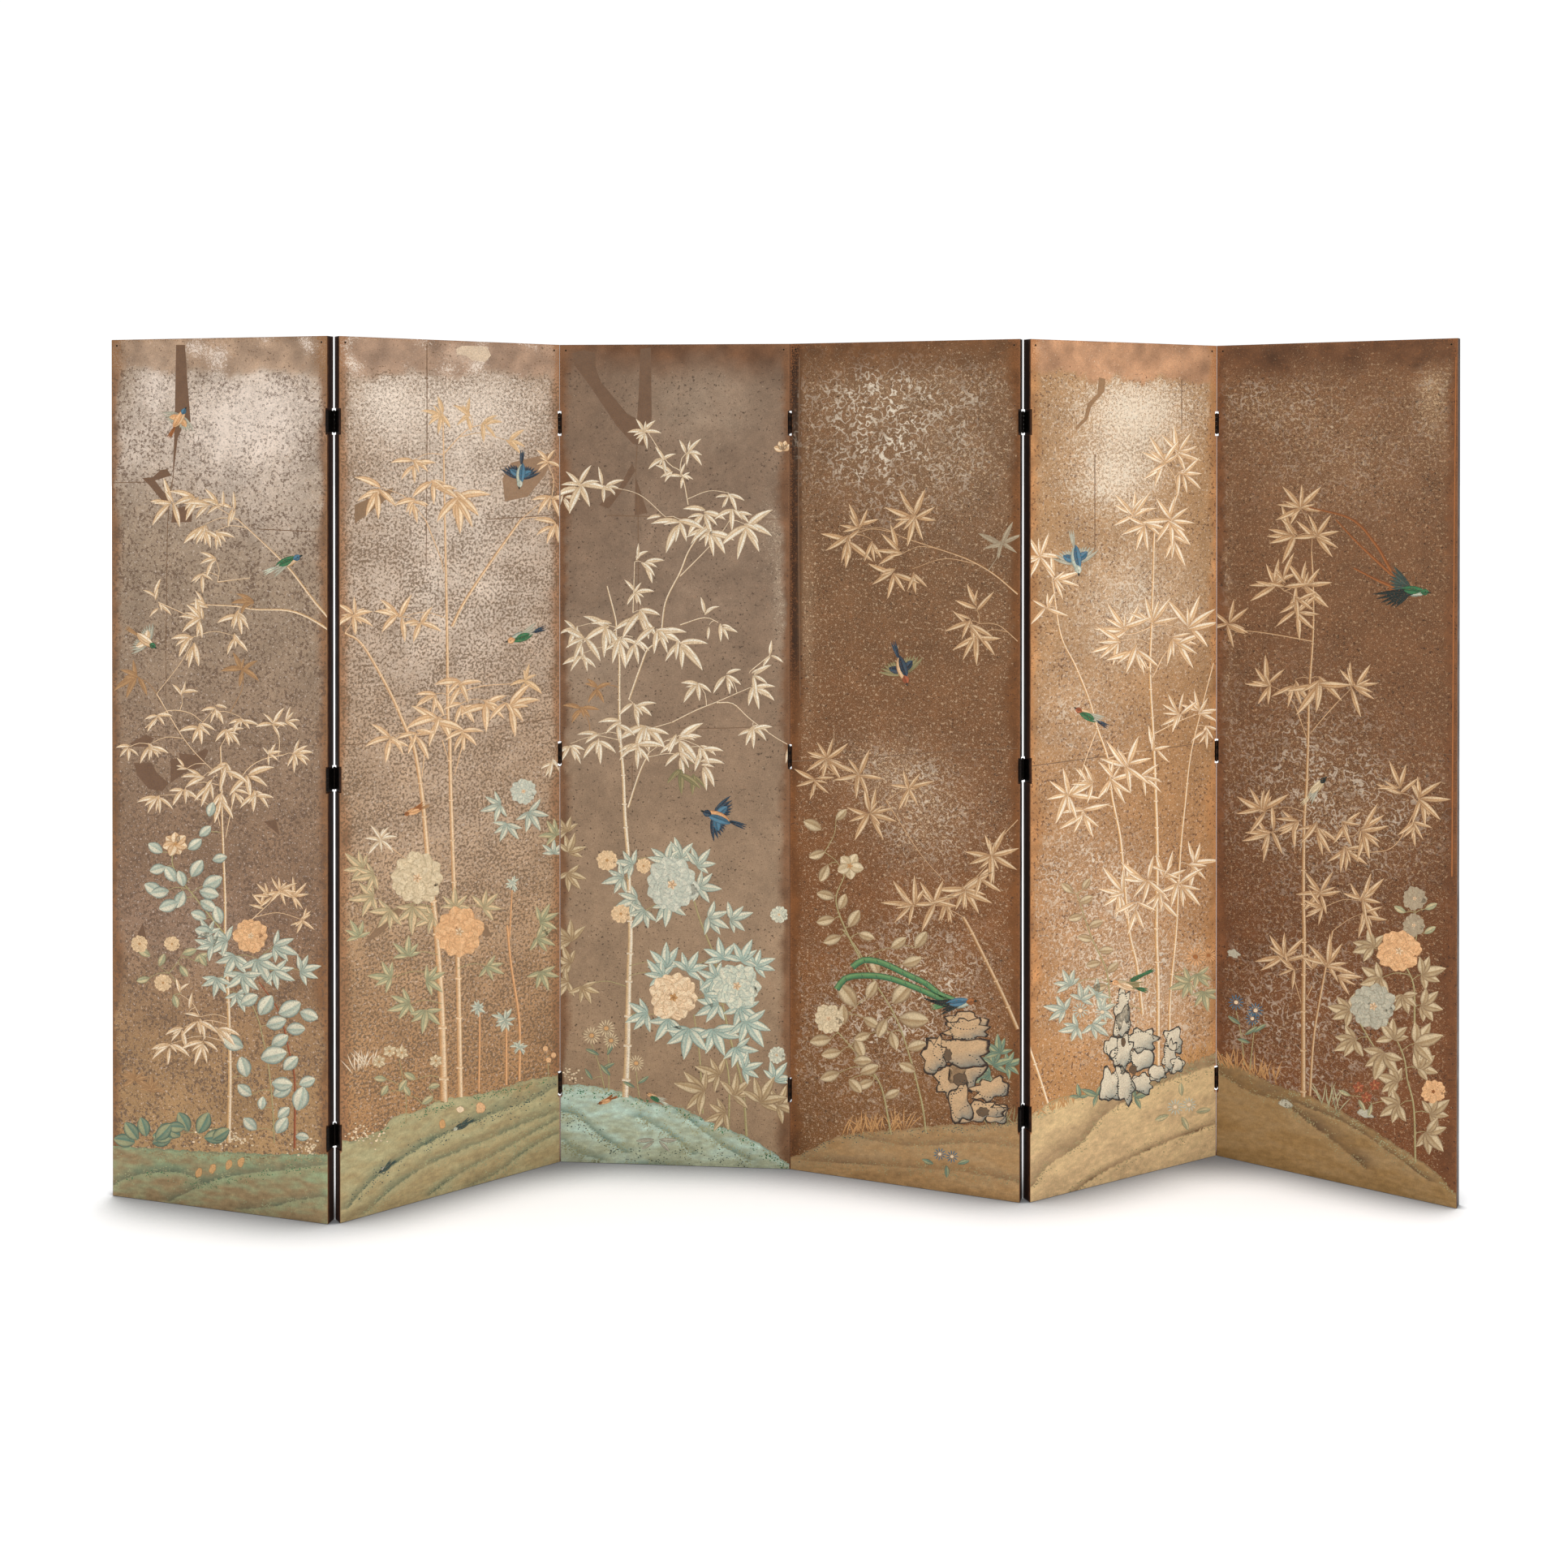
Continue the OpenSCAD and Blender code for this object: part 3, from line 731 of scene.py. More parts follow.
    def line(self, path, start, end, paint, layer=STALK, span=6, soft=False):
        """A brushed line that goes from one width to another."""
        outline, body, rib = self.tones(paint, 0.03)
        run = self.smooth(path)
        if layer == STALK:
            self.stems += run
        points, tones = [], []
        for k, spot in enumerate(run):
            ahead = run[min(k + 1, len(run) - 1)] - run[max(k - 1, 0)]
            normal = Vector((-ahead.y, ahead.x)).normalized() if ahead.length else Vector((1, 0))
            half = (start + (end - start) * k / max(1, len(run) - 1)) / 2
            for side, tone in ((-1, outline), (-0.45, body), (0.45, body if soft else rib), (1, outline)):
                points.append(tuple(spot + normal * half * side))
                tones.append(tone)
        self.strip(layer, span, 4, points, tones)
        return run

    def seams(self, start, end, runs):
        """Seams of the paper sheets, seen as dark lines."""
        for path in paths(runs):
            self.line(path, start, end, "seam", GROUND, 1, True)

    def stalk(self, path, start, end, paint="cream", nodes=30):
        """A bamboo stalk from its foot up, with a ring at each node."""
        run = self.line(path, start, end, paint)
        gone, due = 0.0, nodes * 0.6
        for k in range(1, len(run) - 1):
            gone += (run[k] - run[k - 1]).length
            if gone > due:
                due += nodes * (1 + 0.5 * k / len(run)) * self.vary(0.85, 1.15)
                width = start + (end - start) * k / len(run)
                along = (run[k + 1] - run[k]).normalized()
                across = Vector((-along.y, along.x)) * width * 0.66
                ring = [tuple(run[k] + along * s * width * 0.2 + across * side)
                        for s in (-1, 1) for side in (-1, 1)]
                outline, body, rib = self.tones(paint, 0.03)
                self.lay(STALK + 6, 1, ring, [(0, 1, 3, 2)], [rib, rib, body, body])

    def twigs(self, paint, runs, start, end):
        """Thin twigs."""
        for path in paths(runs):
            self.line(path, start, end, paint)

    def leafy(self, paint, rows, lobes=5):
        """Lobed leaves, such as a peony's: x, y, size, direction."""
        for x, y, size, angle in table(rows):
            self.join(x, y, 60)
            for k in range(lobes):
                part = k / max(1, lobes - 1) - 0.5
                length = size * (1 - 0.55 * abs(part)) * self.vary(0.9, 1.08)
                self.blade(x, y, length * 1.08, angle + part * 150 + self.vary(-9, 9), length * self.broad,
                           paint, part * 40 + self.vary(-12, 12), rows=6)

    def ovals(self, paint, rows, plump=0.56):
        """Round-tipped leaves or petals: x, y, length, direction."""
        for x, y, length, angle in table(rows):
            self.join(x, y, 45)
            self.blade(x, y, length, angle, length * plump, paint, self.vary(-14, 14), True)

    def heart(self, x, y, length, width, paint, layer):
        """The small petals in the middle of a flower."""
        for k in range(5):
            self.blade(x, y, length, 72 * k, width, paint, 0, True, layer, 1, 4)

    def bloom(self, x, y, radius, paint, rings=4, heart="rose"):
        """A full double flower: rings of scalloped petals from the outside in."""
        soft = paint + "_petal"
        outline, body, rib = PAINTS[paint]
        PAINTS[soft] = between(body, outline, 0.62), body, between(body, rib, 0.5)
        for ring in range(rings):
            share = 1 - ring / rings
            petals = max(4, round(11 * share + 2))
            for k in range(petals):
                way = FULL_TURN * (k + 0.5 * ring) / petals + self.vary(-10, 10)
                foot = radius * share * 0.35
                length = radius * share * 0.72 * self.vary(0.9, 1.1)
                self.blade(x + foot * cosine(way), y - foot * sine(way), length, way,
                           radius * (0.5 + 0.2 * share), soft, 0, True, FLOWER + 3 * ring, 3, 6)
        self.heart(x, y, radius * 0.2, radius * 0.14, heart, FLOWER + 15)

    def simple_flower(self, x, y, radius, paint, petals=5, turn=90):
        """An open flower of a few broad petals."""
        for k in range(petals):
            self.blade(x, y, radius * self.vary(0.88, 1.08), turn + FULL_TURN * k / petals, radius * 0.82,
                       paint, 0, True, FLOWER, 3)
        self.heart(x, y, radius * 0.26, radius * 0.12, "amber", FLOWER + 4)

    def daisies(self, paint, rows, heart="amber", rays=15):
        """Flowers with narrow rays: x, y, radius."""
        for x, y, radius in table(rows):
            for k in range(rays):
                way = FULL_TURN * k / rays
                self.blade(x + radius * 0.3 * cosine(way), y - radius * 0.3 * sine(way), radius * 0.72, way,
                           max(1.2, radius * 0.17), paint, 0, True, FLOWER, 3, 4)
            self.blob(x, y, radius * 0.27, radius * 0.25, heart, layer=FLOWER + 3)

    def blob(self, x, y, rx, ry, paint, tilt=0.0, rough=0.0, layer=FLOWER, shade=None):
        """A small round patch of paint with an outline; rough makes its rim uneven."""
        outline, body, _ = self.tones(paint, 0.03)
        sides = 12 if max(rx, ry) < 8 else 30
        points, tones = [(x, y)], [body]
        waves = [(self.vary(0, 6.3), self.chance.choice((3, 4, 5, 7, 8))) for _ in range(4)]
        rims = (0.6, 0.84, 0.92, 1.0) if shade else (0.62, 0.86, 1.0)
        for share in rims:
            for k in range(sides):
                way = CIRCLE * k / sides
                grow = share * (1 + rough * sum(math.sin(n * way + p) for p, n in waves) / 4)
                u, v = rx * grow * math.cos(way), ry * grow * math.sin(way)
                points.append((x + u * cosine(tilt) - v * sine(tilt), y + u * sine(tilt) + v * cosine(tilt)))
                tone = outline if share > 0.9 else body
                if shade and share < 0.9:
                    tone = between(body, PAINTS[shade][1],
                                   max(0.0, math.sin(way + 0.6)) * (0.45 if share < 0.8 else 0.75))
                tones.append(tone[:3] + (self.wear,))
        faces = [(0, 1 + k, 1 + (k + 1) % sides) for k in range(sides)]
        for r in range(1, (len(rims) - 1) * sides, sides):
            faces += [(r + k, r + sides + k, r + sides + (k + 1) % sides, r + (k + 1) % sides)
                      for k in range(sides)]
        self.lay(layer, 1 if layer != FLOWER else 3, points, faces, tones)

    def rock(self, stones, holes, paint="stone"):
        """A pierced rock: pale stones shaded blue-grey, dark outlines and strings of dots."""
        for k, (x, y, rx, ry) in enumerate(table(stones)):
            self.blob(x, y, rx * 1.04, ry * 1.04, paint, self.vary(-12, 12), 0.42, FLOWER + k % 4, "shadow")
            start = self.vary(0, 6.3)
            for s in range(18):
                way = start + s * 0.2
                self.dot(x + rx * 0.78 * math.cos(way), y + ry * 0.78 * math.sin(way), 1.0, "ink", FLOWER + 5)
        for x, y, rx, ry in table(holes):
            self.blob(x, y, rx, ry, "dusk", 0, 0.2, FLOWER + 4)

    def dot(self, x, y, size, paint, layer=GROUND + 2):
        """A touch of the brush's tip."""
        tone = self.tone(PAINTS[paint][1], 0.15)
        turn = self.vary(0, 1.5)
        size *= self.vary(0.7, 1.3)
        ways = [turn + k * FIFTH for k in range(5)]
        points = [(x + size * math.cos(way), y + 0.75 * size * math.sin(way)) for way in ways]
        self.lay(layer, 1, points, [(0, 1, 2, 3, 4)], [tone] * 5)

    def stipple(self, path, touches, reach, paint, size=1.2, down=False):
        """Touches scattered about a path, on both sides of it or only below."""
        run = self.smooth(path, 3.0)
        for _ in range(touches * 2):
            spot = self.chance.choice(run)
            off = self.chance.gauss(0, reach)
            off = abs(off) if down else off
            if noise.noise(Vector((spot.x / 16, off / 12, self.panel.number))) > -0.1:
                self.dot(spot.x + self.chance.gauss(0, 2), spot.y + off, size, paint)

    def tuft(self, x, y, wide, high, touches):
        """A tuft of tiny flowers."""
        for _ in range(touches):
            u, v = self.chance.gauss(0, 0.45), self.chance.gauss(0, 0.45)
            self.dot(x + u * wide, y + v * high, 1.5, self.chance.choice(("snow", "rose")), LEAF + 3)

    def grass(self, x0, y0, x1, y1, blades, length, lean, paint="amber"):
        """Blades of grass that stand along a line."""
        for _ in range(blades):
            t = self.chance.random()
            self.blade(x0 + (x1 - x0) * t, y0 + (y1 - y0) * t + self.vary(-3, 2),
                       length * self.vary(0.6, 1.2), lean + self.vary(-35, 35), 1.5, paint,
                       self.vary(-30, 30), layer=STALK, span=5, rows=5)

    def patch(self, spots, tone):
        """A place where the silver has torn away, cut at the middle of the panel."""
        around = [self.panel.spot(*s) for s in table(spots)]
        for keep in (1, -1):
            part = []
            for k, (x, z) in enumerate(around):
                u, w = around[k - 1]
                here, before = (z - PANEL_H / 2) * keep, (w - PANEL_H / 2) * keep
                if here * before < 0:
                    part.append((u + (x - u) * before / (before - here), PANEL_H / 2))
                if here >= 0:
                    part.append((x, z))
            if len(part) > 2:
                order = tuple(range(len(part)))[::-1]
                self.parts.append((TEAR, part, [order], [tone[:3] + (0.35,)] * len(part), True))

    def mound(self, ridge, high, low, dark, bands, dots):
        """The ground the plants stand on, from its ridge down to the panel's foot, with its folds."""
        high, low, dark = colour(high), colour(low), colour(dark)
        number, rows, points, tones = self.panel.number, 48, [], []
        crest = [self.panel.spot(*p) for p in self.smooth(ridge, 4.0)]
        folds = [([self.panel.spot(*p) for p in self.smooth(path, 6.0)], width) for path, width in bands]
        step = 0.006
        columns = [min(self.panel.width, k * step) for k in range(int(self.panel.width / step) + 2)]

        def height(path, x):
            """How high a path runs at x."""
            after = next((k for k, c in enumerate(path) if c[0] >= x), len(path) - 1)
            (a, za), (b, zb) = path[max(0, after - 1)], path[after]
            return za if b <= a else za + (zb - za) * clamp((x - a) / (b - a))

        for x in columns:
            top = height(crest, x) + 0.0015 * math.sin(x * 160) + 0.001 * math.sin(x * 410 + 1)
            lines = [(height(path, x), width, clamp(1 + (x - path[0][0]) / 0.03)
                      * clamp(1 + (path[-1][0] - x) / 0.03)) for path, width in folds]
            for r in range(rows + 1):
                z = max(0.004, top) * r / rows
                cloud = noise.noise(Vector((x * 9, z * 34, number * 3.1)))
                cloud += 0.8 * noise.noise(Vector((x * 30, z * 90, number * 5.7)))
                tone = between(low, high, clamp(z / max(top, 0.02) * 0.8 + 0.8 * cloud))
                tone = dim(tone, 1 + 0.22 * cloud + 0.25 * noise.noise(Vector((x * 70, z * 160, 4.1))))
                for line, width, share in lines:
                    over = (z - line) / width
                    if 0 <= over < 2.4:
                        shade = 0.88 * share * (1 - over / 2.4) ** 1.2 * (0.8 + 0.5 * cloud)
                        tone = between(tone, dark, shade)
                    elif -1.6 < over < 0:
                        light = share * (1 + over / 1.6)
                        tone = tuple(c * (1 + 0.12 * light) for c in between(tone, high, 0.6 * light))
                if top - z < 0.004:
                    tone = between(tone, dark, 0.4)
                points.append((x, z))
                tones.append(tone[:3] + (0.12,))
        line = rows + 1
        faces = [(c * line + r, (c + 1) * line + r, (c + 1) * line + r + 1, c * line + r + 1)
                 for c in range(len(columns) - 1) for r in range(rows)]
        self.parts.append((GROUND, points, faces, tones, True))
        for path, _ in bands:
            self.stipple(path, 150, 5, dots, 0.9)
        self.stipple(ridge, 170, 5, dots, 0.9, True)

    def bird(self, x, y, size, angle, back, belly, head, wing, tail, flying=True):
        """A small bird that faces along angle; flying, with two wings spread, or perched."""
        way, size = math.radians(angle), size * 0.88
        ahead, up = Vector((math.cos(way), -math.sin(way))), Vector((-math.sin(way), -math.cos(way)))
        at = Vector((x, y))

        def feather(spot, length, turn, width, paint, layer, rounded=False, bend=0, span=1):
            """One feather or patch of the body, measured by the bird."""
            self.blade(spot.x, spot.y, length * size, angle + turn, width * size, paint, bend, rounded,
                       TOP + layer, span, 6)

        for k in (-1, 0, 1):
            feather(at - ahead * size * 0.30, 0.5, 180 + 7 * k, 0.06, tail, 0, span=2)
        if flying:
            for side in (1, -1):
                for k in range(6):
                    feather(at + up * side * 0.05 * size + ahead * size * 0.02 * k, 0.32 + 0.06 * k,
                            side * (150 - 9 * k), 0.1, wing, 2, bend=side * 16, span=3)
                feather(at, 0.36, side * 104, 0.2, back, 5, True, side * 22)
        feather(at - ahead * size * 0.34, 0.64, 0, 0.27, belly, 6, True)
        feather(at - ahead * size * 0.38 + up * size * 0.05, 0.6, 0, 0.2, back, 7, True)
        if not flying:
            for k in range(4):
                feather(at + ahead * size * 0.05, 0.5 + 0.06 * k, 176 + 8 * k, 0.09, wing, 8, span=2)
            feather(at + ahead * size * 0.1, 0.4, 178, 0.17, back, 10, True)
        feather(at + ahead * size * 0.14, 0.22, 4, 0.18, head, 11, True)
        feather(at + ahead * size * 0.33, 0.1, 0, 0.05, "ink", 11)
        self.dot(*(at + ahead * size * 0.27 + up * size * 0.02), 0.7, "ink", TOP + 12)

    def finish(self, brown):
        """Carry every stroke to the panel's face and make one object of them, the lowest layer first."""
        panel, points, faces, tints = self.panel, [], [], []
        for layer, spots, around, tones, *on_panel in sorted(self.parts, key=lambda part: part[0]):
            start, proud = len(points), UNDERCOAT + layer * LAYER
            for spot in spots:
                x, z = spot if on_panel else panel.spot(*spot)
                inside = clamp(x, 0.001, panel.width - 0.001)
                edge = NOTCH_EDGE if panel.notched(inside, z, 0.004) else EDGE
                points.append((clamp(x, edge, panel.width - edge), clamp(z, 0.0002, PANEL_H - 0.001), proud))
            tints += tones
            faces += [tuple(start + k for k in face) for face in around]
        made = painted(panel.number, brown)
        return face_mesh(f"panel_{panel.number}_motifs", panel, points, faces, tints, made)


def paint_panel_1(p):
    """Cream bamboo over roses, a peony and two birds."""
    bare = colour("765a46")
    p.patch("217 425, 228 425, 231 470, 235 520, 226 524, 219 540, 214 582, 213 580, 215 530, 216 480", bare)
    p.patch("175 589, 188 588, 198 579, 206 578, 211 586, 191 592, 200 604, 211 617, 199 616, 184 598", bare)
    p.patch("213 627, 238 622, 236 643, 211 644", bare)
    p.patch("165 940, 169 955, 183 972, 200 975, 208 965, 193 952, 187 940", bare)
    p.patch("210 935, 222 935, 220 928, 240 930, 253 922, 257 925, 248 945, 228 952, 210 965", bare)
    p.patch("160 916, 180 905, 190 910, 182 920, 165 920", bare)
    p.patch("170 1150, 176 1137, 182 1162, 165 1165", bare)
    p.patch("325 1012, 340 1010, 345 1030", bare)
    p.seams(1.1, 0.8, "214 582, 207 640, 205 760, 204 860; 136 595, 175 594; 319 652, 408 656; 185 907, "
            "288 915, 353 918; 217 1170, 280 1174; 213 1215, 213 1335")
    p.mound("134 1412, 174 1414, 224 1417, 254 1419, 299 1420, 324 1422, 396 1422",
            "97a27c", "aa9069", "67705a", [
                ("137 1462, 161 1450, 199 1444, 229 1447, 254 1460", 0.012),
                ("209 1480, 236 1467, 264 1455, 299 1447, 349 1442, 396 1435", 0.013),
                ("299 1490, 336 1487, 361 1480, 396 1475", 0.01)], "heart")
    p.stalk("271.7 920, 273 955, 273.7 1005, 275.5 1055, 277.5 1112, 277.7 1165, 281 1222, 283.5 1315, "
            "282 1408", 1.8, 5.4)
    p.twigs("cream", "404 760, 388 742, 360 705, 343 687, 320 665, 293 640; 404 775, 378 760, 353 752, "
            "315 751, 290 747, 248 745", 3.4, 1.4)
    p.twigs("cream", "268 717, 308 712; 195 742, 240 762; 350 930, 323 936, 303 950, 288 977; 288 982, "
            "278 1032; 267 997, 271 1018; 303 1140, 330 1115; 179 897, 200 879, 215 875, 235 879, 250 890; "
            "193 855, 230 915, 268 955", 1.6, 0.9)
    p.fans("cream", "drooping", "213 620 34 4 200 190, 247 612 34 3 200 80, 262 622 30 3 190 60, "
            "253 646 32 5 -95 110, 275 625 28 4 150 120, 290 628 24 3 170 150, 264 655 24 3 -50 70, "
            "266 690 22 3 200 100, 249 706 22 3 -90 110, 192 738 22 2 100 80, 196 743 20 2 -90 90, "
            "249 762 30 6 190 200, 258 748 24 2 150 40, 294 753 28 5 -100 120, 238 785 28 3 200 50, "
            "240 792 30 3 -95 60, 288 783 26 3 -80 80, 224 857 20 3 70 120, 265 871 22 4 -90 170, "
            "296 883 24 4 -80 160, 247 892 26 4 -100 160, 279 900 24 4 -60 150, 193 882 20 4 -90 170, "
            "184 917 24 4 -70 130, 160 920 20 4 -110 150, 336 893 24 5 60 240, 350 890 22 3 20 120, "
            "330 931 16 5 20 200, 360 928 24 7 -20 190, 230 947 18 2 160 50, 250 957 28 3 180 60, "
            "279 942 30 4 -90 120, 303 952 32 4 -60 150, 262 960 28 3 -110 80, 228 970 26 4 -110 140, "
            "196 980 30 4 -110 140, 315 975 30 4 -70 130, 273 978 30 4 -90 90, 290 975 24 3 -60 90, "
            "246 1253 26 4 -110 160, 228 1265 24 3 -130 90, 210 1286 28 4 -110 150, 250 1282 28 4 -90 140, "
            "263 1263 30 3 -30 50, 222 1225 18 2 80 60, 232 1248 22 1 75 0")
    p.fans("faded", "drooping", "312 742 24 4 -170 90, 300 825 26 5 180 300, 170 835 30 5 200 200")
    p.fans("rose", "star", "345 1098 22 7 80 300, 360 1105 24 7 40 240, 335 1105 20 4 150 120, "
            "372 1133 20 5 -40 260, 325 1120 22 3 120 90")
    p.line("278 1152, 260 1130, 240 1105, 220 1080, 212 1062, 214 1045", 2.2, 1.4, "stem")
    p.ovals("teal", "200 1100 24 160, 216 1086 22 120, 236 1080 24 60, 250 1092 26 20, 247 1110 22 -30, "
            "219 1112 24 200, 226 1092 20 100, 258 1006 18 80, 246 1030 18 40, 232 1046 20 30, "
            "200 1050 20 150, 204 1068 20 200, 262 1060 18 20, 226 1098 22 250, 208 1098 22 190, "
            "246 1098 24 -10, 272 1138 22 110, 262 1150 22 170, 254 1132 20 150", 0.68)
    p.simple_flower(216, 1040, 15, "rose", 7)
    for x, y, radius in table("172 1163 10, 212 1163 9, 201 1211 10"):
        p.bloom(x, y, radius, "blush", 3, "amber")
    p.ovals("sage", "185 1178 18 150, 196 1190 16 60, 225 1175 18 10, 222 1190 16 -60, 240 1184 18 30, "
            "254 1190 16 120, 184 1205 16 200, 214 1226 16 -70")
    p.leafy("teal", "290 1178 30 -110, 318 1182 32 -70, 338 1165 28 -10, 280 1160 28 170, 300 1200 30 -90, "
            "338 1196 26 -40, 262 1165 24 160, 268 1205 24 -100, 292 1224 22 -70, 370 1196 24 20, "
            "258 1150 20 120")
    p.bloom(309, 1153, 20, "orange", 4, "rose")
    p.line("296 1212, 316 1250, 324 1280, 331 1315, 336 1365, 338 1408", 1.2, 1.8, "stem")
    p.line("319 1210, 344 1247, 356 1295, 363 1330, 363 1415", 1.4, 2.8, "brick")
    leaves = table("305 1233 20 14 30, 329 1243 22 24 60, 354 1243 26 20 20, 378 1242 20 16 -20, "
            "337 1259 22 14 10, 361 1264 20 12 0, 309 1285 24 18 160, 343 1283 20 16 30, "
            "333 1299 28 18 20, 358 1312 20 20 50, 310 1320 16 22 100, 344 1330 22 14 -10, "
            "376 1332 18 14 20, 317 1345 18 14 150, 346 1345 22 16 30, 327 1363 12 14 90, "
            "374 1360 20 26 70, 349 1372 16 16 40, 323 1387 18 16 140, 348 1390 18 20 60, 370 1397 14 10 0")
    p.ovals("teal", [(x - wide * 0.4, y + high * 0.3, max(wide, high) * 1.15, turn)
                     for x, y, wide, high, turn in leaves], 0.72)
    p.ovals("heart", "166 1408 26 165, 170 1404 26 130, 180 1400 24 100, 192 1404 26 40, 188 1408 24 10, "
            "222 1400 28 150, 232 1394 26 110, 244 1396 28 60, 252 1402 28 10, 228 1390 22 170, "
            "262 1404 24 35, 212 1402 24 175", 0.66)
    p.fans("faded", "star", "166 1330 20 7 90 240, 186 1345 18 6 80 200", 0.3)
    p.tuft(284, 1404, 34, 12, 46)
    p.tuft(378, 1412, 20, 12, 34)
    for x, y in table("245 1445, 262 1440, 282 1435, 297 1432"):
        p.blob(x, y, 4, 6.5, "amber", 20, 0.2)
    p.stipple("137 1416, 224 1420, 299 1424, 396 1426", 160, 5, "olive", 1.0, True)
    p.stipple("137 1462, 199 1446, 254 1460, 330 1444, 396 1436", 110, 4, "green", 0.8)
    p.bird(222, 515, 42, 60, "orange", "rose", "blue", "slate", "rust")
    p.bird(356, 692, 50, 25, "green", "cream", "blue", "slate", "teal", False)
    p.bird(180, 790, 44, -35, "cream", "rose", "green", "slate", "faded")


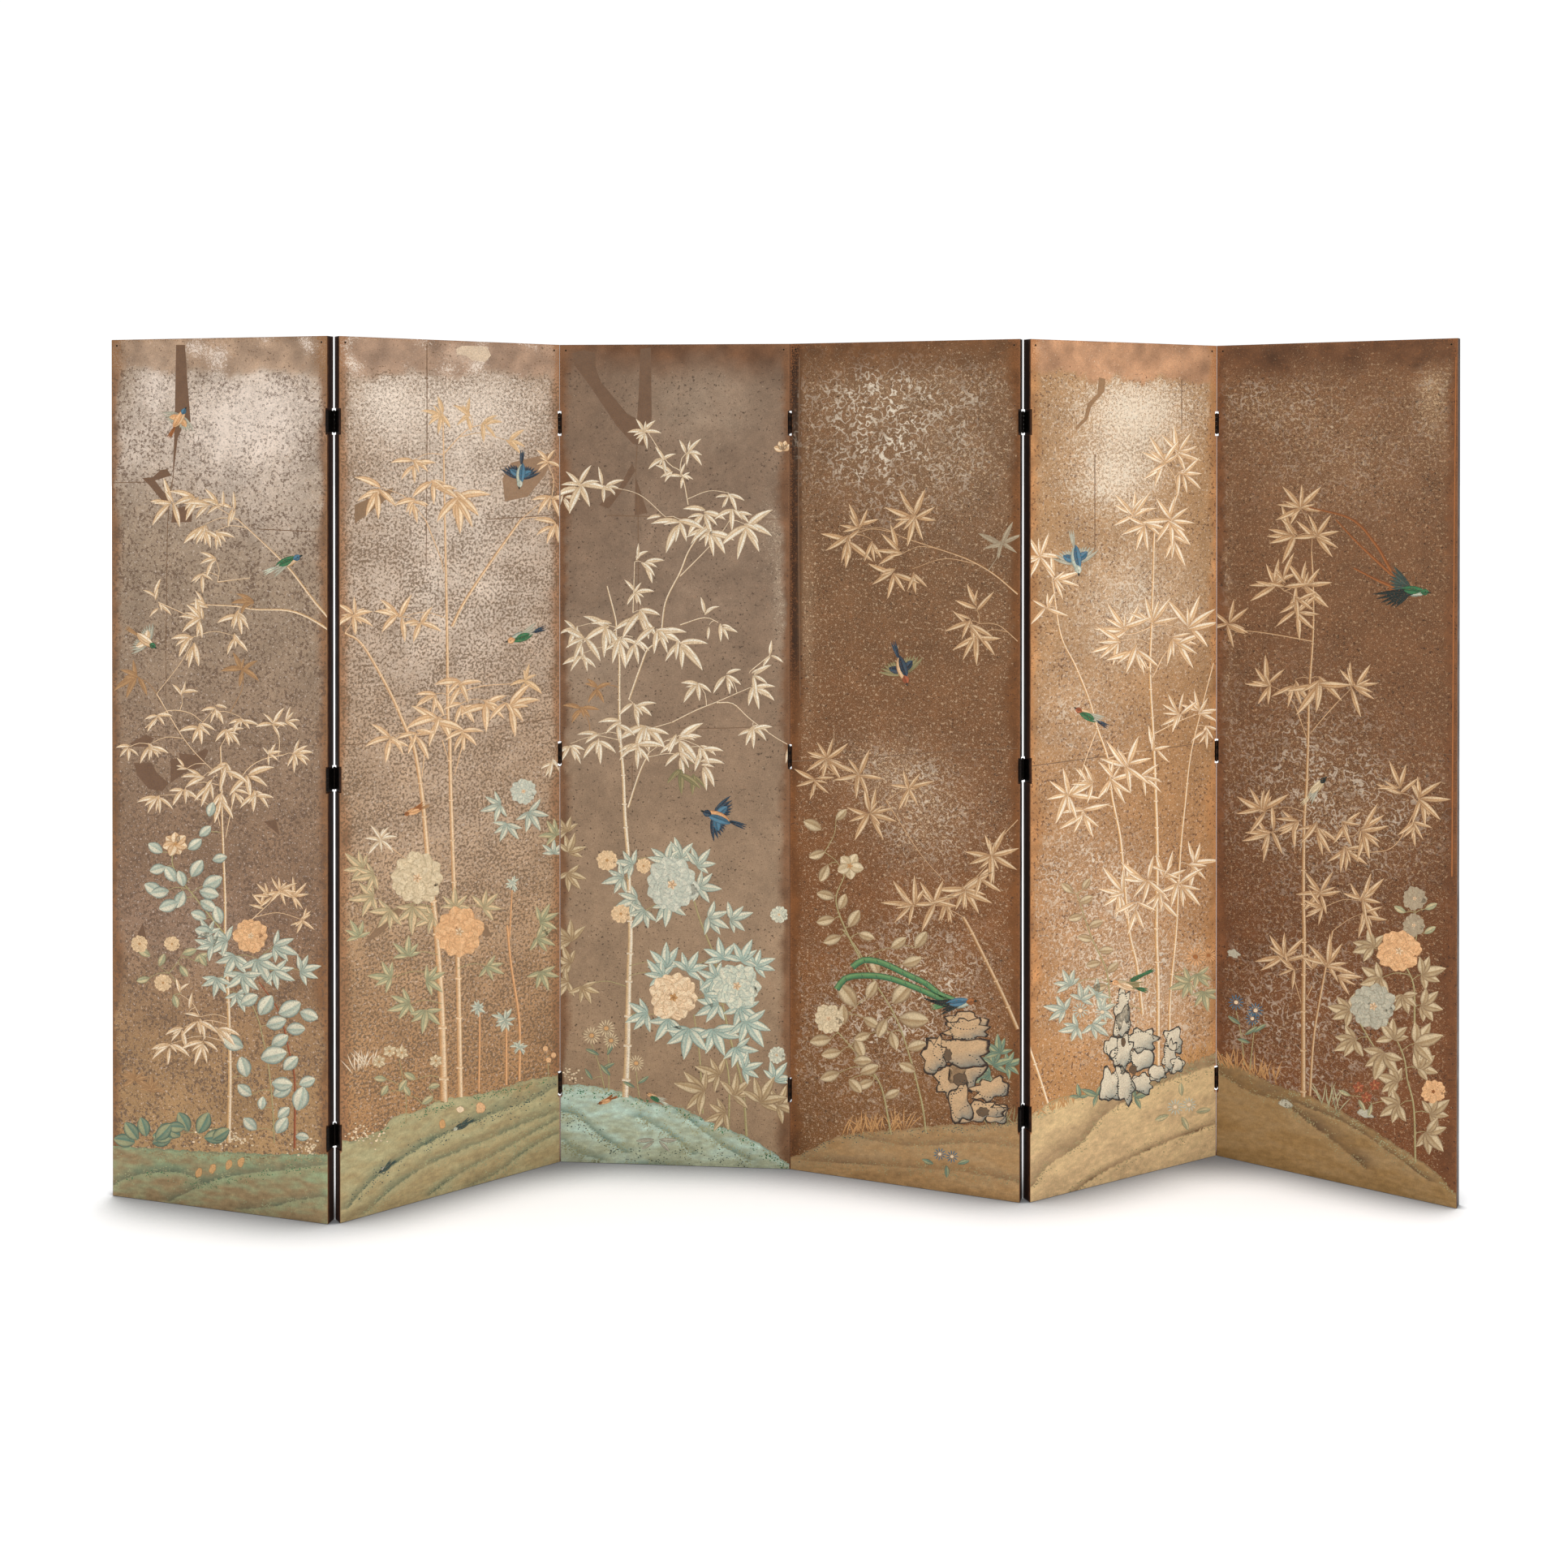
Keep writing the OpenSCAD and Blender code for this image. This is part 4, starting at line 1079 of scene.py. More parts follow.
def paint_panel_2(p):
    """Tall bamboo over peonies, with a small blue bird above."""
    p.patch("562 430, 570 426, 600 427, 605 438, 598 446, 582 444, 574 438, 563 437", colour("dcc4a8"))
    p.patch("437 622, 460 612, 485 600, 480 612, 455 632, 437 645", colour("8f7358"))
    p.patch("619 590, 630 570, 672 560, 685 556, 672 585, 650 612, 622 618", colour("9b7d62"))
    p.patch("447 1165, 480 1120, 500 1118, 470 1150", colour("8f7358"))
    p.patch("590 1140, 600 1140, 605 1152, 598 1156", colour("8f7358"))
    p.seams(1.2, 0.9, "526 424, 526 560, 525 700; 600 640, 645 637, 686 634; 418 917, 450 916, 600 897, "
            "686 884")
    p.broad = 0.34
    p.mound("416 1405, 437 1405, 470 1392, 487 1375, 512 1370, 545 1355, 580 1350, 617 1342, 645 1332, "
            "687 1325",
            "b0a77e", "bca577", "6b745c", [
                ("427 1490, 462 1452, 525 1410, 590 1380, 655 1355, 685 1340", 0.016),
                ("450 1495, 487 1462, 535 1432, 595 1407, 645 1385, 685 1370", 0.013),
                ("530 1472, 565 1447, 620 1417, 685 1380", 0.01),
                ("580 1462, 617 1442, 650 1417, 685 1397", 0.01)], "heart")
    p.stalk("546 512, 547 575, 551 785, 552 880, 554 900, 555.5 980, 560 1105, 564 1177, 567.5 1352", 1.6,
            6.8, "rose", 40)
    p.stalk("425 780, 447 795, 480 852, 500 897, 510 920, 520 980, 527 1055, 536 1130, 541 1190, 545 1260, "
            "547.5 1358", 2.6, 9.2, "rose", 40)
    p.twigs("rose", "642 640, 605 692, 572 742, 557 772", 2.8, 3.6)
    p.twigs("rose", "525 642, 542 685, 547 705; 524 920, 520 957; 545 912, 552 935; 570 917, 560 955; "
            "469 1035, 503 1060; 546 560, 575 530, 600 522; 552 860, 590 846, 640 842", 1.7, 0.9)
    p.fans("rose", "drooping", "509 567 30 5 -90 180, 470 600 38 5 -120 150, 510 615 28 4 -90 150, "
            "532 594 36 4 -60 150, 560 607 40 5 -60 130, 680 612 28 4 -90 200, 685 645 30 4 -130 110, "
            "674 570 22 4 100 250, 435 760 26 6 60 300, 495 760 36 5 170 200, 517 767 28 4 -60 250, "
            "566 840 34 4 -90 190, 537 855 30 4 -120 140, 567 867 30 4 -70 170, 597 863 38 4 -60 200, "
            "625 867 40 5 -40 200, 540 885 42 5 -120 200, 482 909 32 5 -110 200, 512 902 32 4 -80 160, "
            "570 900 28 5 -80 180")
    p.fans("pale", "drooping", "681 937 20 5 -90 160, 469 1035 22 7 120 330")
    p.fans("blush", "drooping", "546 510 26 5 200 200, 580 512 24 4 180 200, 595 522 24 4 -20 120, "
            "622 542 26 3 -10 80, 647 840 28 4 30 300")
    p.leafy("moss", "447 1070 26 150, 461 1078 26 200, 460 1105 28 190, 482 1122 28 -130, 510 1118 30 -90, "
            "560 1118 24 90, 595 1118 26 40, 534 1130 24 200")
    p.leafy("teal", "617 992 24 200, 625 1015 24 -100, 652 1000 26 -50, 682 1052 18 100")
    p.leafy("sage", "665 1135 26 20, 685 1030 22 130, 442 1155 22 110, 502 1178 24 90, 482 1205 26 170, "
            "525 1207 26 10, 505 1237 26 200, 525 1245 26 -90, 662 1155 24 -20, 667 1197 24 -70, "
            "600 1190 22 -30")
    p.bloom(514, 1082, 30, "snow", 5, "rose")
    p.bloom(566, 1148, 28, "orange", 5, "rose")
    p.bloom(645, 975, 15, "sky", 3)
    for path, w in (("591 1247, 591 1290, 590 1345", 2.0), ("624 1260, 624 1300, 624 1337", 2.4), (
            "625 1140, 630 1190, 640 1260, 640 1332", 2.6), ("631 1097, 628 1155", 1.6)):
        p.line(path, w, w * 1.3, "orange")
    for x, y, radius in table("589 1242 9, 622 1258 14, 631 1089 9, 640 1290 9"):
        p.fans("teal", "star", ((x, y, radius * 1.25, 9, 90, 320),), 0.34)
    for x, y in table("480 1295, 495 1297, 467 1308, 537 1307"):
        p.simple_flower(x, y, 8, "snow", 6)
    p.grass(434, 1322, 462, 1310, 16, 24, 100, "pale")
    p.ovals("sage", "512 1330 16 150, 492 1344 16 60, 520 1360 16 30, 505 1350 14 120, 476 1330 15 170, "
            "470 1350 15 60, 528 1340 14 20")
    p.line("500 1385, 500 1350, 492 1305", 1.4, 0.9, "stem")
    for x, y in table("672 1292, 682 1300, 676 1306"):
        p.blob(x, y, 3.4, 3.4, "orange")
    p.line("676 1332, 675 1300", 1.2, 0.8, "stem")
    p.tuft(445, 1398, 34, 14, 50)
    p.blob(545, 1385, 4, 6, "amber", 0, 0.2)
    p.blob(592, 1365, 6, 7, "orange", 0, 0.2)
    p.blob(567, 1367, 5, 4, "rose", 0, 0.2)
    p.bird(567, 1388, 30, 205, "dark", "dark", "teal", "dark", "dark", False)
    p.bird(474, 1440, 26, 215, "dark", "slate", "dark", "dark", "dark", False)
    p.stipple("430 1486, 462 1452, 525 1410, 590 1380, 655 1355, 685 1340", 150, 6, "dark", 0.9)
    p.stipple("470 1394, 512 1372, 580 1352, 685 1327", 110, 4, "green", 0.9, True)
    p.bird(641, 586, 46, -95, "blue", "teal", "sky", "navy", "navy")
    p.bird(640, 785, 50, 200, "green", "teal", "orange", "slate", "navy", False)
    p.bird(508, 1000, 34, 200, "orange", "orange", "rust", "rust", "faded", False)


def paint_panel_3(p):
    """The palest bamboo over peonies and asters, with a blue bird and a butterfly."""
    bare = colour("745a46")
    p.patch("705 435, 720 431, 734 435, 734 452, 740 470, 773 510, 785 516, 787 485, 789 430, 802 428, "
            "803 515, 795 540, 793 549, 780 547, 760 525, 728 477, 708 450", bare)
    p.patch("779 571, 783 580, 770 600, 750 627, 738 622, 763 600", bare)
    p.patch("783 587, 798 632, 782 635", bare)
    p.seams(1.1, 0.8, "785 549, 783 587; 748 635, 860 638, 970 640; 779 940, 779 970; 835 897, 900 897, "
            "970 893; 786 600, 787 780")
    p.mound("688 1337, 720 1337, 765 1345, 793 1357, 838 1365, 873 1382, 918 1400, 948 1417, 972 1435",
            "b9cdbd", "bcc0a0", "5d7768", [
                ("690 1370, 710 1375, 740 1400, 770 1420", 0.012),
                ("693 1405, 713 1420, 740 1430", 0.01),
                ("788 1377, 823 1397, 853 1422", 0.011),
                ("838 1372, 868 1395, 895 1415, 923 1430", 0.012),
                ("760 1440, 820 1436, 880 1450", 0.009)], "heart")
    p.stalk("748 722, 759 765, 759 780, 763 810, 763 855, 764 905, 768 955, 770 1005, 774 1055, "
            "775.5 1105, 777 1155, 775.5 1190, 774 1252, 773 1302, 770.5 1352", 1.6, 8.2, "pale", 28)
    p.twigs("pale", "774 995, 788 952, 800 927; 775 862, 788 825, 798 800, 813 787, 820 742, 838 705, "
            "848 680, 863 657", 2.6, 1.8)
    p.twigs("pale", "838 710, 863 685, 885 662; 848 622, 843 595, 838 580, 823 570, 798 532; 838 580, "
            "840 565, 848 557; 780 755, 782 692; 828 890, 858 875, 883 865, 913 852, 925 847; 883 866, "
            "903 867, 923 885, 953 907, 970 917; 838 770, 868 761, 885 767; 927 825, 949 807; 770 905, "
            "800 898, 828 890", 1.5, 1.0)
    p.fans("pale", "drooping", "795 532 22 6 200 300, 818 566 22 4 160 250, 830 580 22 3 200 80, "
            "840 585 20 4 -60 250, 845 557 24 5 10 200, 898 607 22 4 -90 170, 903 627 26 4 -70 160, "
            "868 630 32 4 -100 170, 838 640 36 4 -100 170, 874 650 36 5 -90 180, 917 645 38 5 -60 180, "
            "820 637 18 1 180 0, 715 600 36 6 90 320, 744 599 24 4 0 200, 693 610 26 3 -60 120, "
            "783 690 22 2 60 50, 790 692 26 3 -30 70, 782 730 22 5 0 250, 868 757 22 2 60 80, "
            "874 770 20 1 -90 0, 888 770 24 3 -60 80, 712 772 24 4 -140 160, 788 752 38 5 -80 150, "
            "808 775 38 5 -60 150, 753 767 38 4 -130 150, 720 787 32 4 -130 150, 718 805 28 4 -100 150, "
            "765 785 32 4 -90 150, 780 785 30 3 -70 80, 835 786 38 4 -60 120, 860 842 28 4 -110 180, "
            "895 832 26 4 -60 150, 923 830 26 3 -20 120, 927 845 34 4 -50 130, 949 807 22 3 -20 200, "
            "928 895 26 6 -70 190, 972 920 18 1 -90 0, 780 866 30 4 -60 150, 763 887 32 4 -110 150, "
            "795 895 38 5 -80 170, 738 905 34 4 -110 150, 703 916 26 4 -90 150, 785 915 32 5 -90 170, "
            "835 907 36 6 -60 200, 863 920 28 4 -50 120, 838 927 28 3 -90 100, 863 940 30 3 -50 80")
    p.fans("olive", "drooping", "838 947 32 3 -90 110, 852 950 30 2 -60 50")
    p.fans("faded", "drooping", "715 872 24 4 -90 200, 735 847 22 4 -90 250")
    p.leafy("teal", "838 1058 28 90, 858 1066 26 50, 822 1062 26 130, 780 1066 24 170, 768 1082 24 190, "
            "785 1108 26 200, 795 1122 26 -120, 824 1112 30 -90, 872 1130 28 -20, 900 1132 26 10, "
            "860 1092 26 -10")
    p.leafy("mint", "820 1192 30 90, 846 1196 28 60, 816 1204 26 130, 798 1250 28 190, 825 1256 28 -120, "
            "868 1225 26 30, 890 1182 28 100, 913 1184 28 70, 930 1190 26 30, 883 1206 26 160, "
            "885 1238 28 200, 913 1240 30 -70, 920 1258 34 -60, 850 1268 36 -100, 880 1268 36 -70, "
            "908 1290 28 -50, 915 1317 26 20, 953 1330 24 60")
    p.leafy("ivory", "886 1325 28 160, 868 1345 36 170, 903 1350 30 40, 894 1372 28 200, 936 1358 34 60, "
            "958 1362 30 20, 703 1160 32 130, 703 1188 26 160, 700 1210 24 200, 718 1215 24 -60, "
            "698 1025 24 120, 700 1050 24 60, 700 1075 24 -60")
    p.bloom(828, 1090, 31, "sky", 5, "rose")
    p.bloom(830, 1229, 28, "rose", 5, "amber")
    p.bloom(908, 1215, 27, "mint", 5, "rose")
    for x, y, radius in table("748 1060 12, 793 1067 9, 765 1126 11"):
        p.bloom(x, y, radius, "blush", 3, "amber")
    for x, y, radius in table("960 1127 10, 957 1300 10"):
        p.bloom(x, y, radius, "teal", 3, "rose")
    p.line("853 1102, 863 1135, 878 1172, 883 1190, 890 1235, 900 1280, 915 1340, 920 1400", 1.8, 3.2,
            "stem")
    p.line("888 1280, 898 1327, 898 1392", 1.8, 2.6, "stem")
    p.line("855 1250, 862 1300, 866 1372", 1.6, 2.4, "stem")
    for path in paths("729 1286, 738 1312, 745 1342; 747 1277, 750 1310, 750 1345; 784 1320, 786 1340, "
            "788 1352"):
        p.line(path, 1.0, 1.5, "stem")
    p.ovals("heart", "738 1300 18 150, 741 1318 18 30, 748 1300 16 60, 752 1325 18 140, 786 1335 16 30, "
            "782 1340 16 150, 730 1330 16 130", 0.3)
    p.daisies("snow", "729 1276 11, 747 1267 11, 753 1282 10, 784 1310 10")
    p.tuft(700, 1325, 22, 10, 34)
    p.stipple("690 1340, 765 1348, 838 1368, 918 1403, 968 1434", 150, 5, "green", 0.9, True)
    p.stipple("690 1372, 740 1400, 770 1420, 853 1422, 923 1430", 130, 6, "dark", 0.9)
    p.ovals("slate", "806 1404 22 185, 812 1404 22 -8, 806 1406 18 215, 812 1406 18 -38", 0.26)
    p.bird(883, 1006, 56, 160, "blue", "orange", "navy", "navy", "navy")
    p.bird(745, 1357, 26, 200, "orange", "orange", "rust", "rust", "rust", False)
    p.bird(806, 1352, 30, 150, "green", "rose", "orange", "slate", "teal", False)
    for way in (35, 75, 115, 160):
        p.blade(965, 555, 12, way, 8, "rose", 0, True, TOP, 1)


def paint_panel_4(p):
    """Tan bamboo, pale leafy boughs and a long-tailed pheasant on a pierced rock."""
    p.seams(1.2, 0.9, "975 938, 1060 934, 1180 925, 1254 922; 985 440, 984 650, 986 860")
    p.mound("971 1427, 991 1420, 1028 1402, 1066 1395, 1106 1392, 1166 1386, 1216 1386, 1257 1381",
            "a98a62", "b9905f", "86694a", [
                ("991 1430, 1091 1437, 1191 1445, 1256 1457", 0.012),
                ("1050 1400, 1120 1412, 1200 1408, 1256 1415", 0.01)], "olive")
    p.twigs("tan", "1254 732, 1224 707, 1192 689, 1152 675, 1112 662", 2.4, 1.2)
    p.twigs("tan", "1092 987, 1134 1052, 1164 1086; 1254 790, 1230 770, 1206 768; 1254 1010, 1236 1030, "
            "1224 1055; 1216 1066, 1196 1088, 1180 1100; 1019 945, 1040 962, 1058 968", 1.4, 0.9)
    p.stalk("1187 1130, 1198 1150, 1218 1190, 1236 1227, 1254 1268", 4, 5, "tan")
    p.fans("tan", "star", "1059 652 32 5 120 200, 1047 661 40 4 -120 150, 1074 665 28 3 -90 70, "
            "1127 637 38 8 90 330, 1112 682 32 4 150 110, 1103 700 34 5 -110 170, 1124 701 28 3 -80 80, "
            "1204 752 32 3 110 100, 1197 765 36 5 -120 190, 1204 782 36 5 -90 150, 1019 937 32 8 100 330, "
            "1058 955 32 6 100 330, 1004 960 28 5 -100 200, 1119 972 30 7 60 330, 1072 1002 36 8 -90 330, "
            "1222 1057 36 8 90 330, 1207 1080 32 4 -60 180, 1127 1117 36 7 150 200, "
            "1152 1115 38 6 100 260, 1187 1092 38 6 -70 200, 1169 1107 34 4 -110 100")
    p.fans("ghost", "star", "1234 670 30 6 110 300")
    p.simple_flower(1047, 1067, 17, "snow", 5, 60)
    for path in paths("1040 1080, 1030 1110, 1044 1150, 1062 1185; 1038 1145, 1058 1172, 1076 1207, "
            "1103 1252, 1121 1302, 1136 1360, 1141 1396; 1028 1267, 1066 1310, 1086 1340, 1098 1398"):
        p.line(path, 1.3, 2.4, "stem")
    p.ovals("ivory", "1012 1022 24 150, 1016 1050 20 200, 1028 1106 22 160, 1028 1132 22 190, "
            "1046 1142 24 60, 1058 1150 20 -20, 1036 1154 22 200, 1098 1168 22 30, 1128 1168 24 60, "
            "1112 1188 24 10, 1054 1240 34 120, 1068 1230 24 60, 1064 1254 22 -30, 1100 1236 34 50, "
            "1108 1254 36 -10, 1092 1256 24 -120, 1098 1272 22 -70, 1072 1274 20 200, 1024 1280 26 190, "
            "1040 1262 24 100, 1054 1280 24 -60, 1036 1296 24 190, 1052 1308 22 10, 1034 1322 24 200, "
            "1046 1330 22 -40, 1060 1322 24 20, 1034 1120 20 60, 1020 1066 22 250, 1030 1010 18 40, "
            "1082 1200 22 110, 1118 1292 24 20, 1128 1320 22 150, 1076 1332 22 200, 1090 1352 20 20", 0.62)
    p.bloom(1021, 1255, 17, "snow", 4, "rose")
    for path, width in (("1176 1232, 1158 1225, 1141 1212, 1116 1200, 1086 1186, 1064 1183, 1050 1192", 7.0),
            ("1174 1236, 1156 1229, 1121 1214, 1091 1204, 1061 1202, 1041 1206, 1031 1219", 7.0)):
        p.line(path, width, width * 1.15, "plume", TOP, 2)
        run = p.smooth(path, 6)
        for k in range(9):
            spot = run[min(len(run) - 1, 2 + k * len(run) // 9)]
            p.blade(spot.x + 2, spot.y + 2.4, width * 0.7, 110, 0.9, "dark", layer=TOP + 2, span=1, rows=4)
    p.bird(1184, 1236, 54, 8, "blue", "teal", "rust", "ink", "plume", False)
    for k in range(5):
        p.blade(1176 - 3 * k, 1232 + 2 * k, 30, 186 - 7 * k, 3.2, "ink", layer=TOP + 3, span=3)
    p.rock("1191 1259 25 12, 1191 1269 26 14, 1181 1296 40 18, 1151 1302 14 22, 1191 1317 22 22, "
            "1173 1331 20 22, 1221 1342 23 13, 1183 1360 14 24, 1206 1370 30 12, 1228 1372 14 13",
            "1183 1330 9 8, 1211 1370 8 6, 1168 1300 5 8")
    p.leafy("heart", "1223 1312 26 60, 1231 1298 24 100, 1240 1312 22 10, 1220 1325 22 200")
    p.grass(1036, 1400, 1121, 1392, 46, 26, 92, "amber")
    p.grass(1215, 1388, 1254, 1385, 16, 18, 92, "olive")
    p.daisies("blue", "1158 1422 8, 1173 1425 8", "rose", 11)
    p.ovals("heart", "1150 1434 15 160, 1166 1436 15 -80, 1180 1434 15 20", 0.4)
    p.stipple("991 1432, 1091 1438, 1191 1446, 1256 1458", 90, 5, "olive", 0.9)
    p.stipple("975 1428, 1028 1404, 1106 1394, 1256 1384", 110, 4, "dark", 0.8, True)
    p.bird(1112, 826, 54, -72, "navy", "rose", "brick", "olive", "navy")


def paint_panel_5(p):
    """The goldest bamboo over a pierced rock, with birds and daisies."""
    p.patch("1354 465, 1362 467, 1361 482, 1345 500, 1340 517, 1326 530, 1325 526, 1336 515, 1340 497, "
            "1352 485", colour("9c7a59"))
    p.seams(1.2, 0.9, "1456 467, 1456 530; 1270 944, 1420 924, 1492 914; 1349 560, 1349 690")
    p.mound("1266 1377, 1293 1360, 1326 1350, 1363 1347, 1431 1327, 1456 1312, 1498 1297",
            "d2b585", "dab889", "72523a", [
                ("1271 1462, 1293 1435, 1331 1410, 1363 1372, 1426 1337, 1498 1312", 0.032),
                ("1300 1490, 1350 1450, 1420 1415, 1498 1385", 0.009)], "olive")
    p.stalk("1297 717, 1307 782, 1325 820, 1342 862, 1352 897, 1365 935, 1370 980, 1380 1030, 1385 1080, "
            "1392 1150, 1401 1190, 1408 1250", 2.0, 4.6, "gold")
    p.stalk("1450 610, 1440 640, 1424 647, 1421 710, 1419 772, 1417 830, 1421 905, 1424 980, 1426 1055, "
            "1425 1150, 1427 1215, 1427 1318", 2.4, 5.4, "gold")
    p.stalk("1495 817, 1482 867, 1467 930, 1460 992, 1455 1042, 1452 1092, 1449 1150, 1442 1227, 1441 1275",
            1.6, 3.8, "gold")
    p.stalk("1268 1290, 1280 1325, 1291 1360", 3.6, 4.0, "gold")
    p.twigs("gold", "1410 815, 1420 835; 1432 810, 1420 835; 1365 935, 1388 928, 1412 925; 1352 897, "
            "1336 940, 1326 975; 1421 905, 1450 890, 1475 880; 1419 772, 1400 780, 1385 782; 1424 640, "
            "1412 640; 1385 1088, 1389 1096", 1.8, 1.0)
    p.fans("gold", "star", "1435 570 36 6 140 240, 1450 560 36 7 60 240, 1452 582 30 5 -30 150, "
            "1397 635 36 6 110 200, 1412 645 32 6 -100 200, 1440 642 38 8 20 300, 1445 660 34 3 -70 90, "
            "1282 687 32 6 90 300, 1297 715 34 5 30 200, 1290 750 28 4 100 250, 1387 777 38 5 120 200, "
            "1420 770 38 4 90 150, 1460 777 42 5 40 150, 1380 790 32 5 200 120, 1400 795 38 5 -100 140, "
            "1445 787 38 5 -40 140, 1455 880 32 6 140 220, 1475 880 28 5 60 180, 1485 895 26 4 -80 140, "
            "1317 980 38 7 140 300, 1335 997 34 6 -90 180, 1347 965 30 5 180 160, 1367 960 34 6 0 250, "
            "1387 945 38 6 40 260, 1405 957 32 4 -20 120, 1420 925 30 3 20 160, 1385 1100 38 6 190 200, "
            "1415 1085 38 6 200 220, 1435 1080 34 5 60 200, 1452 1087 36 6 -60 200, 1465 1065 36 5 10 200, "
            "1400 1112 34 4 -90 120, 1430 1100 30 4 -90 100, 1389 1090 38 1 95 0")
    p.line("1327 1102, 1345 1155, 1363 1195, 1368 1236", 1.2, 2.2, "stem")
    p.ovals("ivory", "1322 1100 18 140, 1330 1112 18 20, 1334 1128 18 200, 1342 1142 18 30, "
            "1346 1158 18 170, 1354 1172 18 10, 1356 1186 18 190, 1364 1198 18 40, 1334 1096 16 60, "
            "1364 1214 18 200", 0.6)
    p.leafy("teal", "1318 1215 22 120, 1332 1232 22 60, 1350 1226 22 40, 1312 1245 24 160, "
            "1346 1262 22 -40, 1328 1266 22 200, 1356 1245 20 20")
    p.daisies("sky", "1331 1245 10, 1358 1247 9", "rose", 12)
    p.daisies("orange", "1473 1179 12, 1489 1177 9", "rust", 15)
    p.leafy("sage", "1476 1200 22 -60, 1466 1210 24 200, 1484 1222 22 -80")
    p.rock("1383 1242 9 24, 1383 1262 10 20, 1370 1292 9 15, 1383 1297 12 22, 1406 1282 20 14, "
            "1406 1303 16 16, 1368 1337 13 21, 1386 1337 10 24, 1406 1335 15 12, 1446 1282 11 16, "
            "1441 1302 8 20, 1451 1312 8 10, 1426 1322 12 10", "1396 1318 5 6, 1384 1284 3 6", "chalk")
    p.leafy("heart", "1398 1352 20 20, 1352 1350 20 160, 1330 1352 16 90", 3)
    p.daisies("sky", "1448 1364 10, 1465 1361 9", "rose", 12)
    p.ovals("sage", "1440 1374 18 200, 1456 1376 18 -60, 1474 1370 18 10, 1456 1350 16 100", 0.4)
    p.grass(1454, 1318, 1496, 1298, 28, 24, 92, "amber")
    p.grass(1275, 1378, 1340, 1352, 22, 14, 95, "amber")
    p.stipple("1271 1462, 1293 1435, 1331 1410, 1363 1372, 1426 1337, 1496 1312", 150, 6, "olive", 0.9)
    p.stipple("1268 1379, 1326 1352, 1431 1330, 1496 1299", 90, 4, "heart", 0.9, True)
    p.bird(1326, 690, 54, -80, "blue", "sky", "sky", "slate", "slate")
    p.bird(1338, 880, 46, 150, "green", "rose", "brick", "slate", "navy", False)
    p.bird(1384, 1213, 46, 165, "rose", "snow", "orange", "olive", "green", False)
    for k in range(3):
        p.blade(1392, 1207 + 2 * k, 34, 20 + 6 * k, 4, "green", layer=TOP + 3, span=3)


